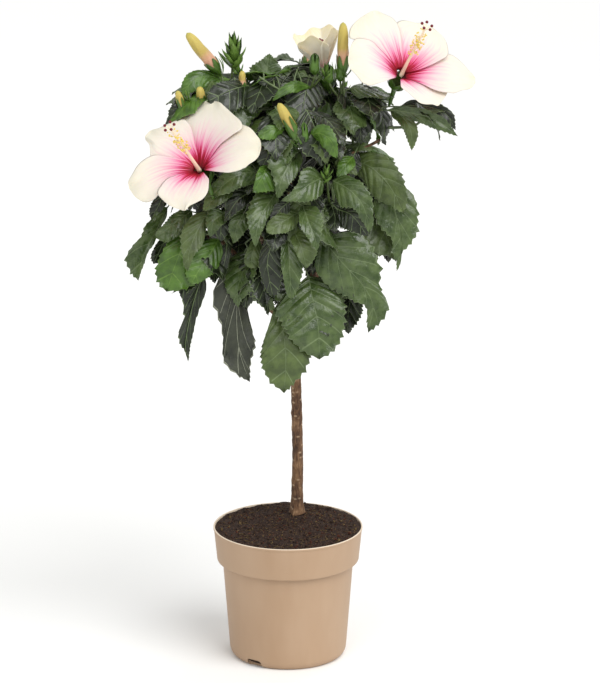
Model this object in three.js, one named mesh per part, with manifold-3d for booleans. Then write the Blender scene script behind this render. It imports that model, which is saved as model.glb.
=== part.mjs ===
// Potted hibiscus grown on one clear stem: a nursery pot full of compost, a slim trunk, its boughs,
// the masses of leaves round them, three large blooms and three upright shoots.
// Millimetres, +Z up, origin at the centre of the pot's flat underside, -Y is the front.

import * as THREE from 'three';
import { mergeVertices } from 'three/addons/utils/BufferGeometryUtils.js';
import Module from 'manifold-3d';

const wasm = await Module();
wasm.setup();

// ---------------------------------------------------------------- driving dimensions

const GAP = 0.4; // clear space between neighbouring solids
const BLOOM_GAP = 1; // clear space round a bloom
const TOUCH = 1e-3; // overlap in cubic millimetres that counts as touching
const BEYOND = 900; // larger than the plant, for blocks that cut one side away

const POT = {
  height: 152,
  footRadius: 61, // flat underside
  baseRadius: 66.3, // wall just above the rounded foot
  baseRise: 5,
  stepRadius: 74.6, // top of the plain wall, under the ledge of the rim band
  stepHeight: 113.1,
  bandRadius: 80.8, // foot of the wide rim band
  bandHeight: 113.7,
  rimRadius: 85,
  wall: 1.4,
  floor: 1.6,
  segments: 36,
};
const NOTCH = { count: 2, firstAngle: -126, width: 20, height: 6, depth: 9 };

const COMPOST = {
  edgeHeight: 147.8,
  moundHeight: 155.2,
  moundSpread: 42,
  ripple: 0.9,
  padRadius: 15,
  padTop: 155.6,
  segments: 24,
  rings: 4,
};

const TRUNK = {
  foot: new THREE.Vector3(10.3, 34, 156),
  fork: new THREE.Vector3(10, 24, 400),
  footRadius: 9.1, // over the root flare
  lowRadius: 6.6,
  forkRadius: 5.4,
  flareHeight: 9,
  sway: 0.8,
  sides: 12,
  steps: 12,
};

// Boughs leave the trunk at a height and run into a mass of leaves.
// [name, height on the trunk, end x, y, z, radius at the trunk, radius at the end, rise of the bend]
const BOUGHS = [
  ['bough_leader', 399, -4, 26, 665, 4.6, 2.4, 0],
  ['bough_left', 378, -95, -22, 505, 4.2, 2.2, -22],
  ['bough_upper_left', 390, -84, 8, 650, 3.8, 2.0, -25],
  ['bough_right', 384, 112, -2, 540, 4.0, 2.0, -18],
  ['bough_upper_right', 394, 92, 12, 640, 3.8, 2.0, -25],
  ['bough_front', 388, 8, -56, 560, 3.8, 2.0, -20],
  ['bough_back_left', 374, -62, 92, 560, 3.8, 2.0, -18],
  ['bough_back_right', 381, 74, 92, 555, 3.8, 2.0, -18],
];
const LIMB = { sides: 7, steps: 6 };

// Masses of leaves round the crown's upright axis.
// azimuth in degrees (0 is +X, 90 is the back), reach from the axis and height of the centre,
// half sizes outward, across and upright, lean outward at the foot in degrees,
// narrowing towards the foot (0 none, 1 to a point), turn about its own upright axis in degrees
const CROWN_AXIS = new THREE.Vector2(5, 15);
const MASSES = [
  ['mass_top', 110, 14, 655, 48, 44, 36, 0, 0, 0],
  ['mass_upper_left', 188, 92, 640, 46, 54, 38, 0, 0, 0],
  ['mass_upper_right', -2, 76, 636, 42, 50, 38, 10, 0, 0],
  ['mass_right_spray', -7, 142, 621, 50, 26, 15, -14, 0, 0],
  ['mass_front_upper', 272, 62, 618, 36, 56, 36, 0, 0, 0],
  ['mass_front_middle', 270, 66, 536, 34, 60, 62, 0, 0.1, 0],
  ['mass_front_left', 240, 66, 462, 22, 34, 54, 6, 0.2, 20],
  ['mass_front_low', 291, 66, 414, 16, 42, 54, 0, 0.2, -16],
  ['hanging_front', 268, 78, 372, 10, 31, 48, 4, 0.2, 0],
  ['mass_left', 190, 94, 574, 50, 60, 50, 0, 0, 0],
  ['mass_lower_left', 203, 120, 482, 36, 44, 56, 0, 0.1, 20],
  ['mass_far_left', 197, 165, 500, 10, 28, 54, 12, 0.45, 50],
  ['hanging_left', 199, 118, 400, 9, 14, 52, 6, 0.6, 30],
  ['hanging_front_left', 221, 80, 400, 10, 24, 66, -8, 0.3, 46],
  ['mass_right', -10, 102, 524, 44, 46, 70, 10, 0.45, 0],
  ['mass_lower_right', 322, 92, 454, 32, 42, 64, 16, 0.3, -20],
  ['mass_back_left', 135, 102, 560, 46, 58, 58, 0, 0.1, 0],
  ['mass_back', 88, 114, 540, 34, 48, 64, 0, 0.1, 0],
  ['mass_back_right', 50, 100, 545, 44, 54, 54, 0, 0.1, 0],
  ['mass_back_top', 96, 80, 628, 42, 66, 36, 0, 0, 0],
  ['mass_back_low_left', 128, 104, 456, 20, 44, 54, 6, 0.3, 0],
  ['mass_back_low_right', 50, 98, 446, 20, 44, 52, 6, 0.3, 0],
];
const FACETS = 2; // fineness of each mass's ball of facets
const LUMP = 0.24; // how far a mass swells and sinks, as a share of its size

// Large blooms: throat, azimuth and elevation the bloom faces, turn of the first petal, petal reach,
// rise of the petal tips over the throat, length of the stamen column
const BLOOMS = [
  ['bloom_left', -101, -80, 586, 234, 48, 88, 79, 21, 72],
  ['bloom_right', 127, -10, 679, 304, 53, 113, 77, 23, 71],
  ['bloom_back', 42, 34, 676, 150, 74, 40, 24, 40, 30],
];
const BLOOM = {
  petals: 5,
  perPetal: 4,
  sheet: 3, // thickness of the petal layer
  notch: 0.22, // how far the outline draws in between petals
  flaring: 0.7, // under 1 the petals rise first and spread later
  calyxLength: 26,
  stalkLength: 14, // below the calyx
  calyxRadius: 9,
  stalkRadius: 3.2,
  columnRadius: 2.6,
  brushRadius: 7, // stamens round the upper part of the column
};

// Upright buds and shoots that stand out of the crown: foot and tip, widest radius, where it is widest
const SHOOTS = [
  ['shoot_left_bud', -72, 9, 672, -112, 10, 719, 8, 0.5],
  ['shoot_left_tip', -58, 20, 668, -60, 20, 717, 11, 0.45],
  ['shoot_top_bud', 60, 0, 660, 61, 0, 733, 8.5, 0.5],
];

// ---------------------------------------------------------------- looks of the sub-parts

const finish = (color, roughness) => new THREE.MeshStandardMaterial({ color, roughness, metalness: 0 });
const PLASTIC = () => finish(0xbfa184, 0.6);
const PEAT = () => finish(0x3a2d26, 0.95);
const BARK = () => finish(0x6f5a40, 0.85);
const LEAF = () => finish(0x3f5a2c, 0.55);
const PETAL = () => finish(0xf4ead8, 0.6);
const SHOOT = () => finish(0x5d8a2c, 0.5);

// ---------------------------------------------------------------- helpers

/** Closed geometry to a manifold solid, with shared corners merged and empty triangles dropped. */
function toSolid(geometry) {
  const bare = geometry.clone();
  bare.deleteAttribute('normal');
  bare.deleteAttribute('uv');
  const merged = mergeVertices(bare, 1e-4);
  const index = merged.index.array;
  const triangles = [];
  for (let i = 0; i < index.length; i += 3) {
    const [a, b, c] = [index[i], index[i + 1], index[i + 2]];
    if (a !== b && b !== c && c !== a) triangles.push(a, b, c);
  }
  return new wasm.Manifold(new wasm.Mesh({
    numProp: 3,
    vertProperties: new Float32Array(merged.attributes.position.array),
    triVerts: new Uint32Array(triangles),
  }));
}

/** Manifold solid back to a geometry. */
function toGeometry(solid) {
  const mesh = solid.getMesh();
  const geometry = new THREE.BufferGeometry();
  geometry.setAttribute('position', new THREE.BufferAttribute(new Float32Array(mesh.vertProperties), 3));
  geometry.setIndex(new THREE.BufferAttribute(new Uint32Array(mesh.triVerts), 1));
  geometry.computeVertexNormals();
  return geometry;
}

/** Moves every vertex of a geometry by a function of its position. */
function bend(geometry, move) {
  const position = geometry.attributes.position;
  const point = new THREE.Vector3();
  for (let i = 0; i < position.count; i += 1) {
    point.fromBufferAttribute(position, i);
    move(point);
    position.setXYZ(i, point.x, point.y, point.z);
  }
  return geometry;
}

/** Profile of [radius, height] pairs turned round the Z axis. */
function turned(profile, segments) {
  const points = profile.map(([radius, height]) => new THREE.Vector2(radius, height));
  return new THREE.LatheGeometry(points, segments).rotateX(Math.PI / 2);
}

/** Tapering limb along a curve: a unit cylinder whose rings are carried to the curve's frames. */
function limb(curve, radiusAt, sides = LIMB.sides, steps = LIMB.steps) {
  const frames = curve.computeFrenetFrames(steps, false);
  const rod = new THREE.CylinderGeometry(1, 1, 1, sides, steps);
  return bend(rod, (point) => {
    const along = point.y + 0.5;
    const ring = Math.round(along * steps);
    const radius = radiusAt(along);
    const { x, z } = point;
    point.copy(curve.getPointAt(along));
    point.addScaledVector(frames.normals[ring], z * radius);
    point.addScaledVector(frames.binormals[ring], x * radius);
  });
}

/** Bounding box of a solid. */
function boxOf(solid) {
  const { min, max } = solid.boundingBox();
  return new THREE.Box3(new THREE.Vector3(...min), new THREE.Vector3(...max));
}

/** Middle of a solid's bounding box. */
function centreOf(solid) {
  return boxOf(solid).getCenter(new THREE.Vector3());
}

/** Largest separate body of a solid. */
function largest(solid) {
  const bodies = solid.decompose();
  return bodies.reduce((best, body) => (body.volume() > best.volume() ? body : best));
}

/** Separate body of a solid that comes nearest to a point. */
function nearest(solid, target) {
  const distance = (body) => boxOf(body).distanceToPoint(target);
  return solid.decompose().reduce((best, body) => (distance(body) < distance(best) ? body : best));
}

/** Small repeatable random source in 0..1. */
function seeded(seed) {
  let state = seed * 7919 + 104729;
  return () => {
    state = (state * 16807) % 2147483647;
    return state / 2147483647;
  };
}

// ---------------------------------------------------------------- pot and compost

/** Inner face of the pot's wall, from the foot up, drawn in by a clearance. */
function innerWall(clearance) {
  const inset = POT.wall + clearance;
  return [
    [POT.footRadius - 1, POT.floor + clearance],
    [POT.baseRadius - inset, POT.baseRise + clearance],
    [POT.stepRadius - inset, POT.stepHeight + inset],
    [POT.bandRadius - inset, POT.bandHeight + inset],
  ];
}

/** Pot: a turned wall with a ledge out to its wide rim band, and drainage notches at its foot. */
function potSolid() {
  const outer = [
    [0, 0],
    [POT.footRadius, 0],
    [POT.baseRadius - 1.4, 1.3],
    [POT.baseRadius, POT.baseRise],
    [POT.stepRadius, POT.stepHeight],
    [POT.bandRadius, POT.bandHeight],
    [POT.rimRadius, POT.height - 1.5],
    [POT.rimRadius - 0.5, POT.height],
  ];
  const inner = [
    [POT.rimRadius - POT.wall, POT.height - 0.4],
    ...innerWall(0).reverse(),
    [0, POT.floor],
  ];
  let pot = toSolid(turned([...outer, ...inner], POT.segments));
  for (let i = 0; i < NOTCH.count; i += 1) {
    const angle = THREE.MathUtils.degToRad(NOTCH.firstAngle + (i * 360) / NOTCH.count);
    const slot = new THREE.BoxGeometry(NOTCH.depth, NOTCH.width, 2 * NOTCH.height);
    slot.translate(POT.footRadius + NOTCH.depth / 2, 0, 0).rotateZ(angle);
    pot = pot.subtract(toSolid(slot));
  }
  return pot;
}

/** Height of the compost's surface: a low mound that rises round the trunk. */
function compostHeight(x, y) {
  const distance = Math.hypot(x - TRUNK.foot.x, y - TRUNK.foot.y);
  const mound = COMPOST.moundHeight - COMPOST.edgeHeight;
  const rise = mound * Math.exp(-((distance / COMPOST.moundSpread) ** 2));
  const ripple = COMPOST.ripple * Math.sin(x / 9 + 1) * Math.cos(y / 11);
  return COMPOST.edgeHeight + rise + ripple * Math.min(1, distance / COMPOST.moundSpread);
}

/** Compost: fills the pot to a little below the rim, with a flat pad under the trunk's cut. */
function compostSolid() {
  const wall = innerWall(GAP);
  const slope = (POT.rimRadius - POT.bandRadius) / (POT.height - POT.bandHeight);
  const edge = POT.bandRadius - POT.wall - GAP + slope * (COMPOST.edgeHeight - POT.bandHeight);
  const top = [];
  for (let ring = 0; ring <= COMPOST.rings; ring += 1) {
    top.push([edge * (1 - ring / COMPOST.rings), COMPOST.edgeHeight]);
  }
  const body = turned([[0, POT.floor + GAP], ...wall, ...top], COMPOST.segments);
  bend(body, (point) => {
    if (point.z < COMPOST.edgeHeight - 1) return;
    point.z = compostHeight(point.x, point.y);
  });
  const padHeight = 20;
  const pad = new THREE.CylinderGeometry(COMPOST.padRadius, COMPOST.padRadius, padHeight, 16);
  pad.rotateX(Math.PI / 2).translate(TRUNK.foot.x, TRUNK.foot.y, COMPOST.padTop - padHeight / 2);
  return toSolid(body).add(toSolid(pad));
}

// ---------------------------------------------------------------- trunk and boughs

/** Centre of the trunk at a share of its height, from foot to fork. */
function trunkCentre(along) {
  const sway = TRUNK.sway * Math.sin(along * Math.PI * 2);
  return new THREE.Vector3().lerpVectors(TRUNK.foot, TRUNK.fork, along).add(new THREE.Vector3(sway, 0, 0));
}

/** Trunk from its flat cut at the compost to the fork, with the flare of the roots at its foot. */
function trunkGeometry(extra = 0) {
  const height = TRUNK.fork.z - TRUNK.foot.z;
  const rod = new THREE.CylinderGeometry(1, 1, 1, TRUNK.sides, TRUNK.steps).rotateX(Math.PI / 2);
  return bend(rod, (point) => {
    const along = (point.z + 0.5) ** 1.6;
    const angle = Math.atan2(point.y, point.x);
    const flare = (TRUNK.footRadius - TRUNK.lowRadius) * Math.exp((-along * height) / TRUNK.flareHeight);
    const straight = THREE.MathUtils.lerp(TRUNK.lowRadius, TRUNK.forkRadius, along);
    const radius = straight + flare * (1 + 0.5 * Math.cos(3 * angle + 0.6)) + extra;
    const reach = Math.hypot(point.x, point.y) * radius;
    point.set(Math.cos(angle) * reach, Math.sin(angle) * reach, 0).add(trunkCentre(along));
    point.z += along > 0.5 ? extra : 0;
  });
}

/** One bough: a single tapering limb from the trunk to a point inside a mass of leaves. */
function boughGeometry([, height, x, y, z, base, tip, rise], extra = 0) {
  const along = (height - TRUNK.foot.z) / (TRUNK.fork.z - TRUNK.foot.z);
  const start = trunkCentre(along);
  const end = new THREE.Vector3(x, y, z);
  const middle = new THREE.Vector3().lerpVectors(start, end, 0.5).add(new THREE.Vector3(0, 0, rise));
  const curve = new THREE.QuadraticBezierCurve3(start, middle, end);
  return limb(curve, (share) => THREE.MathUtils.lerp(base, tip, share) + extra);
}

// ---------------------------------------------------------------- masses of leaves

/** One mass: a ball of facets, swollen and sunk by a few waves, stretched, narrowed and leant. */
function massGeometry(row, seed, extra = 0) {
  const [, azimuth, reach, height, out, across, tall, lean, narrowing, turn] = row;
  const random = seeded(seed + 1);
  const phase = [0, 0, 0, 0].map(() => random() * 2 * Math.PI);
  const ball = new THREE.IcosahedronGeometry(1, FACETS);
  bend(ball, (point) => {
    const slow = Math.sin(3.3 * point.x + phase[0]) * Math.sin(3.1 * point.y + phase[1]);
    const quick = Math.sin(5.4 * point.z + 2.2 * point.x + phase[2]);
    const fine = Math.sin(7.5 * point.y + 4.5 * point.z + phase[3]);
    const swell = 1 + LUMP * (0.5 * slow + 0.35 * quick + 0.25 * fine);
    const width = 1 - narrowing * THREE.MathUtils.clamp((0.6 - point.z) / 1.6, 0, 1);
    point.set(
      point.x * (swell * width * out + extra),
      point.y * (swell * width * across + extra),
      point.z * (swell * tall + extra),
    );
  });
  ball.rotateY(-THREE.MathUtils.degToRad(lean)).rotateZ(THREE.MathUtils.degToRad(turn));
  ball.translate(reach, 0, height).rotateZ(THREE.MathUtils.degToRad(azimuth));
  return ball.translate(CROWN_AXIS.x, CROWN_AXIS.y, 0);
}

/** Cuts two overlapping masses apart along the plane across the line between their middles. */
function partNeighbours(solids, first, second) {
  const overlap = solids[first].intersect(solids[second]);
  if (overlap.volume() < TOUCH) return;
  const centre = centreOf(overlap);
  const across = centreOf(solids[second]).sub(centreOf(solids[first])).normalize();
  const turn = new THREE.Quaternion().setFromUnitVectors(new THREE.Vector3(1, 0, 0), across);
  for (const [index, side] of [[first, 1], [second, -1]]) {
    const block = new THREE.BoxGeometry(BEYOND, BEYOND, BEYOND).translate(side * (BEYOND - GAP) * 0.5, 0, 0);
    block.applyQuaternion(turn).translate(centre.x, centre.y, centre.z);
    solids[index] = largest(solids[index].subtract(toSolid(block)));
  }
}

// ---------------------------------------------------------------- blooms and shoots

/** One bloom: five-lobed dish of petals, calyx behind it and stamen column in front of it. */
function bloomSolid(row, extra = 0) {
  const [, x, y, z, azimuth, elevation, roll, reach, rise, column] = row;
  const sheet = BLOOM.sheet / 2 + extra;
  const shares = [0.25, 0.65, 1];
  const height = (share) => rise * share ** BLOOM.flaring;
  const face = shares.map((share) => [reach * share, height(share) + sheet]);
  const back = shares.map((share) => [reach * share, height(share) - sheet]);
  const profile = [[0, -sheet], ...back, ...face.reverse(), [0, sheet]];
  const dish = bend(turned(profile, BLOOM.petals * BLOOM.perPetal), (point) => {
    const angle = Math.atan2(point.y, point.x);
    const share = Math.hypot(point.x, point.y) / reach;
    const lobe = 0.5 - 0.5 * Math.cos(BLOOM.petals * angle);
    const scale = 1 - BLOOM.notch * lobe * share + (extra / reach) * share;
    point.set(point.x * scale, point.y * scale, point.z);
  });
  const calyx = turned([
    [0, -BLOOM.calyxLength - BLOOM.stalkLength],
    [BLOOM.stalkRadius + extra, -BLOOM.calyxLength - BLOOM.stalkLength],
    [BLOOM.stalkRadius + extra, -BLOOM.calyxLength],
    [BLOOM.calyxRadius + extra, -BLOOM.calyxLength * 0.6],
    [BLOOM.calyxRadius + extra, 0],
    [0, 0.5],
  ], 8);
  const pistil = turned([
    [0, 0],
    [BLOOM.columnRadius + extra, 0],
    [BLOOM.columnRadius + extra, column * 0.5],
    [BLOOM.brushRadius + extra, column * 0.62],
    [BLOOM.brushRadius + extra, column * 0.85],
    [BLOOM.brushRadius * 0.5 + extra, column + extra],
    [0, column + extra],
  ], 6);
  const facing = THREE.MathUtils.degToRad(azimuth);
  const tilt = THREE.MathUtils.degToRad(elevation);
  const level = new THREE.Vector3(-Math.sin(facing), Math.cos(facing), 0);
  const axis = new THREE.Vector3(Math.cos(facing), Math.sin(facing), 0).multiplyScalar(Math.cos(tilt));
  axis.z = Math.sin(tilt);
  const steep = new THREE.Vector3().crossVectors(axis, level);
  const place = new THREE.Matrix4().makeBasis(level, steep, axis).setPosition(x, y, z);
  const turn = new THREE.Matrix4().makeRotationZ(THREE.MathUtils.degToRad(roll));
  const whole = toSolid(dish).add(toSolid(calyx)).add(toSolid(pistil));
  return toSolid(toGeometry(whole).applyMatrix4(turn).applyMatrix4(place));
}

/** Upright shoot or bud: a spindle from its foot to its tip. */
function shootGeometry([, x0, y0, z0, x1, y1, z1, radius, widest]) {
  const curve = new THREE.LineCurve3(new THREE.Vector3(x0, y0, z0), new THREE.Vector3(x1, y1, z1));
  const shape = (share) => {
    const rise = share < widest ? share / widest : (1 - share) / (1 - widest);
    return radius * (0.22 + 0.78 * Math.sin((rise * Math.PI) / 2));
  };
  return limb(curve, shape, 8, 6);
}

// ---------------------------------------------------------------- assembly

const masses = MASSES.map((row, index) => toSolid(massGeometry(row, index)));
for (let first = 0; first < masses.length; first += 1) {
  for (let second = first + 1; second < masses.length; second += 1) partNeighbours(masses, first, second);
}
const bloomGaps = BLOOMS.map((row) => bloomSolid(row, BLOOM_GAP));
const blooms = BLOOMS.map((row) => bloomSolid(row));
masses.forEach((solid, index) => {
  masses[index] = largest(bloomGaps.reduce((left, bloom) => left.subtract(bloom), solid));
});

const massGaps = MASSES.map((row, index) => toSolid(massGeometry(row, index, GAP)));
const trunk = toSolid(trunkGeometry());
const boughs = [];
const taken = [toSolid(trunkGeometry(GAP)), ...massGaps, ...bloomGaps];
for (const row of BOUGHS) {
  const cut = taken.reduce((left, solid) => left.subtract(solid), toSolid(boughGeometry(row)));
  boughs.push(nearest(cut, TRUNK.fork));
  taken.push(toSolid(boughGeometry(row, GAP)));
}
const shoots = SHOOTS.map((row) => {
  const whole = toSolid(shootGeometry(row));
  return largest([...massGaps, ...bloomGaps].reduce((left, solid) => left.subtract(solid), whole));
});

const group = new THREE.Group();

/** Adds one named solid to the plant. */
function addNode(name, solid, material) {
  const mesh = new THREE.Mesh(toGeometry(solid), material);
  mesh.name = name;
  group.add(mesh);
}

addNode('pot', potSolid(), PLASTIC());
addNode('compost', compostSolid(), PEAT());
addNode('trunk', trunk, BARK());
BOUGHS.forEach(([name], index) => addNode(name, boughs[index], BARK()));
MASSES.forEach(([name], index) => addNode(name, masses[index], LEAF()));
BLOOMS.forEach(([name], index) => addNode(name, blooms[index], PETAL()));
SHOOTS.forEach(([name], index) => addNode(name, shoots[index], SHOOT()));

export default group;
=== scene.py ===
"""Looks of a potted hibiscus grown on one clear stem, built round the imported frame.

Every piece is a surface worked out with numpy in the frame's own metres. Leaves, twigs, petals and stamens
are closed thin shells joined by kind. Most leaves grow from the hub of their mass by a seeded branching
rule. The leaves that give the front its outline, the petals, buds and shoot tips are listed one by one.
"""

import logging
from dataclasses import dataclass, field
from enum import Enum
from typing import Callable, Iterable, Sequence

import bpy
import numpy as np
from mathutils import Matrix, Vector


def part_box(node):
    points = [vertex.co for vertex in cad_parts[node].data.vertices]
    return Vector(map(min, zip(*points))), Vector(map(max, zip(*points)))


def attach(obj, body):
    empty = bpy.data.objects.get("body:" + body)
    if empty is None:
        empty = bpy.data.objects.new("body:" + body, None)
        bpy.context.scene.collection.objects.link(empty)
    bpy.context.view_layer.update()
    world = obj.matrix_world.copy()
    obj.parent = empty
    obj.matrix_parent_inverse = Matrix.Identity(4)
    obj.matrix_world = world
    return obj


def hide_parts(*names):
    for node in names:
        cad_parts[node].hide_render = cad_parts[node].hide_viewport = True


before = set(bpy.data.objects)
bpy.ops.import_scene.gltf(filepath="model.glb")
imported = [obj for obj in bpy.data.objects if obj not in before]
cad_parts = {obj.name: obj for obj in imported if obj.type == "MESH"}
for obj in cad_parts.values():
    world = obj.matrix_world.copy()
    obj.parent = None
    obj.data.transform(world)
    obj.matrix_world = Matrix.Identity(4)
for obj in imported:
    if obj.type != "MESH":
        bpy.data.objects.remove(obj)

log = logging.getLogger("hibiscus")
Array = np.ndarray
Material = bpy.types.Material
Pair = tuple[float, float]
Triple = tuple[float, float, float]

MM = 0.001
SEED = 20
BODY = "root"
GOLDEN_ANGLE = np.radians(137.508)
CROWN_AXIS = np.array([5.0, 15.0]) * MM
UP = np.array([0.0, 0.0, 1.0])


class Slot(str, Enum):
    """Material slots of the record."""

    POT = "pot_plastic"
    COMPOST = "compost"
    BARK = "bark"
    FOLIAGE = "foliage"
    SHOOTS = "shoots"
    PETALS = "petals"


class Tint(int, Enum):
    """Age and tone of a leaf, in the order of the leaf materials."""

    # Mature leaves whose near-black tone is partly painted shade, for leaves deep in the crown.
    DARK = 0
    MID = 1
    OLIVE = 2
    BRIGHT = 3


# ---- vectors


def around(level: Array, steep: Array, turn: Array | float) -> Array:
    """Direction at an angle from level towards steep."""
    return np.cos(turn) * level + np.sin(turn) * steep


def circle(count: int) -> Array:
    """Even angles round one full turn."""
    return np.linspace(0, 2 * np.pi, count, endpoint=False)


def stacked(*parts: Array) -> Array:
    """Coordinates of any matching shapes as one array whose last axis holds them."""
    return np.stack(np.broadcast_arrays(*parts), -1)


def unit(v: Array) -> Array:
    """Vectors scaled to length one.

    Args:
        v: array whose last axis is xyz.

    Returns:
        The same array with each vector divided by its length.
    """
    return v / np.maximum(np.linalg.norm(v, axis=-1, keepdims=True), 1e-12)


def smooth_step(x: Array, low: float, high: float) -> Array:
    """Smooth 0 to 1 ramp of x between low and high: 3t^2 - 2t^3."""
    t = np.clip((x - low) / (high - low), 0.0, 1.0)
    return t * t * (3.0 - 2.0 * t)


def ripples(points: Array, wavelength: float, seed: int, octaves: int = 4) -> Array:
    """Smooth random field: a sum of plane waves in random directions, each octave half as long and high.

    Args:
        points: positions, last axis xyz.
        wavelength: length of the longest waves, in the unit of points.
        seed: seed of the directions and phases.
        octaves: number of octaves.

    Returns:
        Values of about -1 to 1, one for each point.
    """
    rng = np.random.default_rng(seed)
    total = np.zeros(points.shape[:-1])
    for octave in range(octaves):
        for _ in range(4):
            direction = unit(rng.normal(size=3)) * 2 * np.pi * 2**octave / wavelength
            total += np.sin(points @ direction + rng.uniform(0, 2 * np.pi)) * 0.5**octave / 2.6
    return total


def direction(azimuth: float, elevation: float) -> Array:
    """Unit vector at an azimuth from +X towards +Y and an elevation above level, in degrees."""
    a, e = np.radians(azimuth), np.radians(elevation)
    return np.array([np.cos(e) * np.cos(a), np.cos(e) * np.sin(a), np.sin(e)])


def bend_between(start: Array, end: Array, lift: Array, steps: int) -> Array:
    """Points of a quadratic curve whose middle control point is the mean of the ends plus lift.

    Args:
        start: first points, (..., 3).
        end: last points, (..., 3).
        lift: offset of the control point, (..., 3).
        steps: number of points.

    Returns:
        Array (..., steps, 3).
    """
    u = np.linspace(0, 1, steps)[:, None]
    a, b = start[..., None, :], end[..., None, :]
    middle = (a + b) / 2 + lift[..., None, :]
    return (1 - u) ** 2 * a + 2 * u * (1 - u) * middle + u**2 * b


# ---- surfaces


@dataclass
class Surface:
    """Points and faces of a mesh under construction.

    Faces are rows of four corners. A triangle repeats its last corner.
    """

    points: Array
    faces: Array
    slots: Array
    values: dict[str, Array] = field(default_factory=dict)

    @staticmethod
    def join(parts: Iterable["Surface"]) -> "Surface":
        """One surface of several, with their corners renumbered.

        Args:
            parts: the surfaces.

        Returns:
            The joined surface.
        """
        parts = [p for p in parts if len(p.points)]
        starts = np.cumsum([0] + [len(p.points) for p in parts[:-1]])
        names = set().union(*(p.values for p in parts))
        return Surface(
            np.concatenate([p.points for p in parts]),
            np.concatenate([p.faces + s for p, s in zip(parts, starts)]),
            np.concatenate([p.slots for p in parts]),
            {n: np.concatenate([p.values.get(n, np.zeros(len(p.points))) for p in parts]) for n in names},
        )

    def piece(self, name: str, finishes: Sequence[Material], slot: Slot) -> bpy.types.Object:
        """Makes the Blender object, riding on the plant's one body.

        Args:
            name: the piece's name.
            finishes: materials, in the order that the face slots number them.
            slot: the record's material slot; not used.

        Returns:
            The finished object, at the origin.
        """
        faces = self.faces
        keep = np.ones(faces.shape, bool)
        for corner in range(4):
            keep[:, corner] = faces[:, corner] != faces[:, (corner + 1) % 4]
        whole = keep.sum(1) >= 3
        faces, keep, slots = faces[whole], keep[whole], self.slots[whole]
        counts = keep.sum(1)
        mesh = bpy.data.meshes.new(name)
        mesh.vertices.add(len(self.points))
        mesh.vertices.foreach_set("co", self.points.astype(np.float32).ravel())
        mesh.loops.add(int(counts.sum()))
        mesh.loops.foreach_set("vertex_index", faces[keep].astype(np.int32))
        mesh.polygons.add(len(faces))
        mesh.polygons.foreach_set(
            "loop_start", np.concatenate([[0], np.cumsum(counts)[:-1]]).astype(np.int32)
        )
        mesh.polygons.foreach_set("material_index", slots.astype(np.int32))
        mesh.polygons.foreach_set("use_smooth", np.ones(len(faces), bool))
        for key, values in self.values.items():
            mesh.attributes.new(key, "FLOAT", "POINT").data.foreach_set("value", values.astype(np.float32))
        for finish in finishes:
            mesh.materials.append(finish)
        mesh.update(calc_edges=True)
        mesh.validate()
        made = bpy.data.objects.new(name, mesh)
        bpy.context.scene.collection.objects.link(made)
        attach(made, BODY)
        log.info("%s: %d faces", name, len(mesh.polygons))
        return made


def grid_faces(index: Array, wrap: bool = False) -> Array:
    """Faces of a grid of corner numbers, wound rows first and then columns.

    Args:
        index: corner numbers, (rows, columns).
        wrap: joins the last column to the first.

    Returns:
        Rows of four corners.
    """
    following = np.roll(index, -1, 1) if wrap else index[:, 1:]
    present = index if wrap else index[:, :-1]
    quads = np.stack([present[:-1], present[1:], following[1:], following[:-1]], -1)
    return quads.reshape(-1, 4)


def copies(points: Array, faces: Array, slots: Array) -> Surface:
    """The same faces over several sets of points.

    Args:
        points: (copies, points, 3).
        faces: faces of one copy.
        slots: face slots, (faces,) or (copies, faces).

    Returns:
        One joined surface.
    """
    count, size = points.shape[:2]
    shifted = faces[None] + (np.arange(count) * size)[:, None, None]
    return Surface(
        points.reshape(-1, 3),
        shifted.reshape(-1, 4),
        np.broadcast_to(slots, (count, len(faces))).reshape(-1).copy(),
    )


def tubes(paths: Array, radii: Array, sides: int, slot: int = 0) -> Surface:
    """Closed tubes: rings of a circle carried along each path, and a pole at each end.

    Args:
        paths: (tubes, rings, 3).
        radii: (tubes, rings).
        sides: corners of a ring.
        slot: face slot.

    Returns:
        The joined tubes.
    """
    count, rings = radii.shape
    along = unit(np.gradient(paths, axis=1))
    level = np.abs(along[:, :, 2:3].mean(1, keepdims=True)) > 0.9
    aside = unit(np.cross(np.where(level, np.array([1.0, 0, 0]), UP), along))
    other = np.cross(along, aside)
    angle = circle(sides)[:, None]
    ring = np.cos(angle) * aside[:, :, None] + np.sin(angle) * other[:, :, None]
    body = paths[:, :, None] + ring * radii[:, :, None, None]
    points = np.concatenate([body.reshape(count, -1, 3), paths[:, :1], paths[:, -1:]], 1)
    index = np.arange(rings * sides).reshape(rings, sides)
    first, last = rings * sides, rings * sides + 1
    index = np.vstack([np.full(sides, first), index, np.full(sides, last)])
    faces = grid_faces(index, True)[:, ::-1]
    return copies(points, faces, np.full(len(faces), slot))


def ball(rows: int, columns: int) -> tuple[Array, Array]:
    """Unit ball on a grid of latitude and longitude, with a single corner at each pole.

    Args:
        rows: bands of latitude.
        columns: corners of a band.

    Returns:
        Points and faces.
    """
    polar = np.linspace(0, np.pi, rows + 1)[1:-1, None]
    turn = circle(columns)
    body = stacked(np.sin(polar) * np.cos(turn), np.sin(polar) * np.sin(turn), np.cos(polar))
    points = np.vstack([[[0, 0, 1.0]], body.reshape(-1, 3), [[0, 0, -1.0]]])
    index = 1 + np.arange((rows - 1) * columns).reshape(rows - 1, columns)
    index = np.vstack([np.zeros(columns, int), index, np.full(columns, len(points) - 1)])
    return points, grid_faces(index, True)


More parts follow.
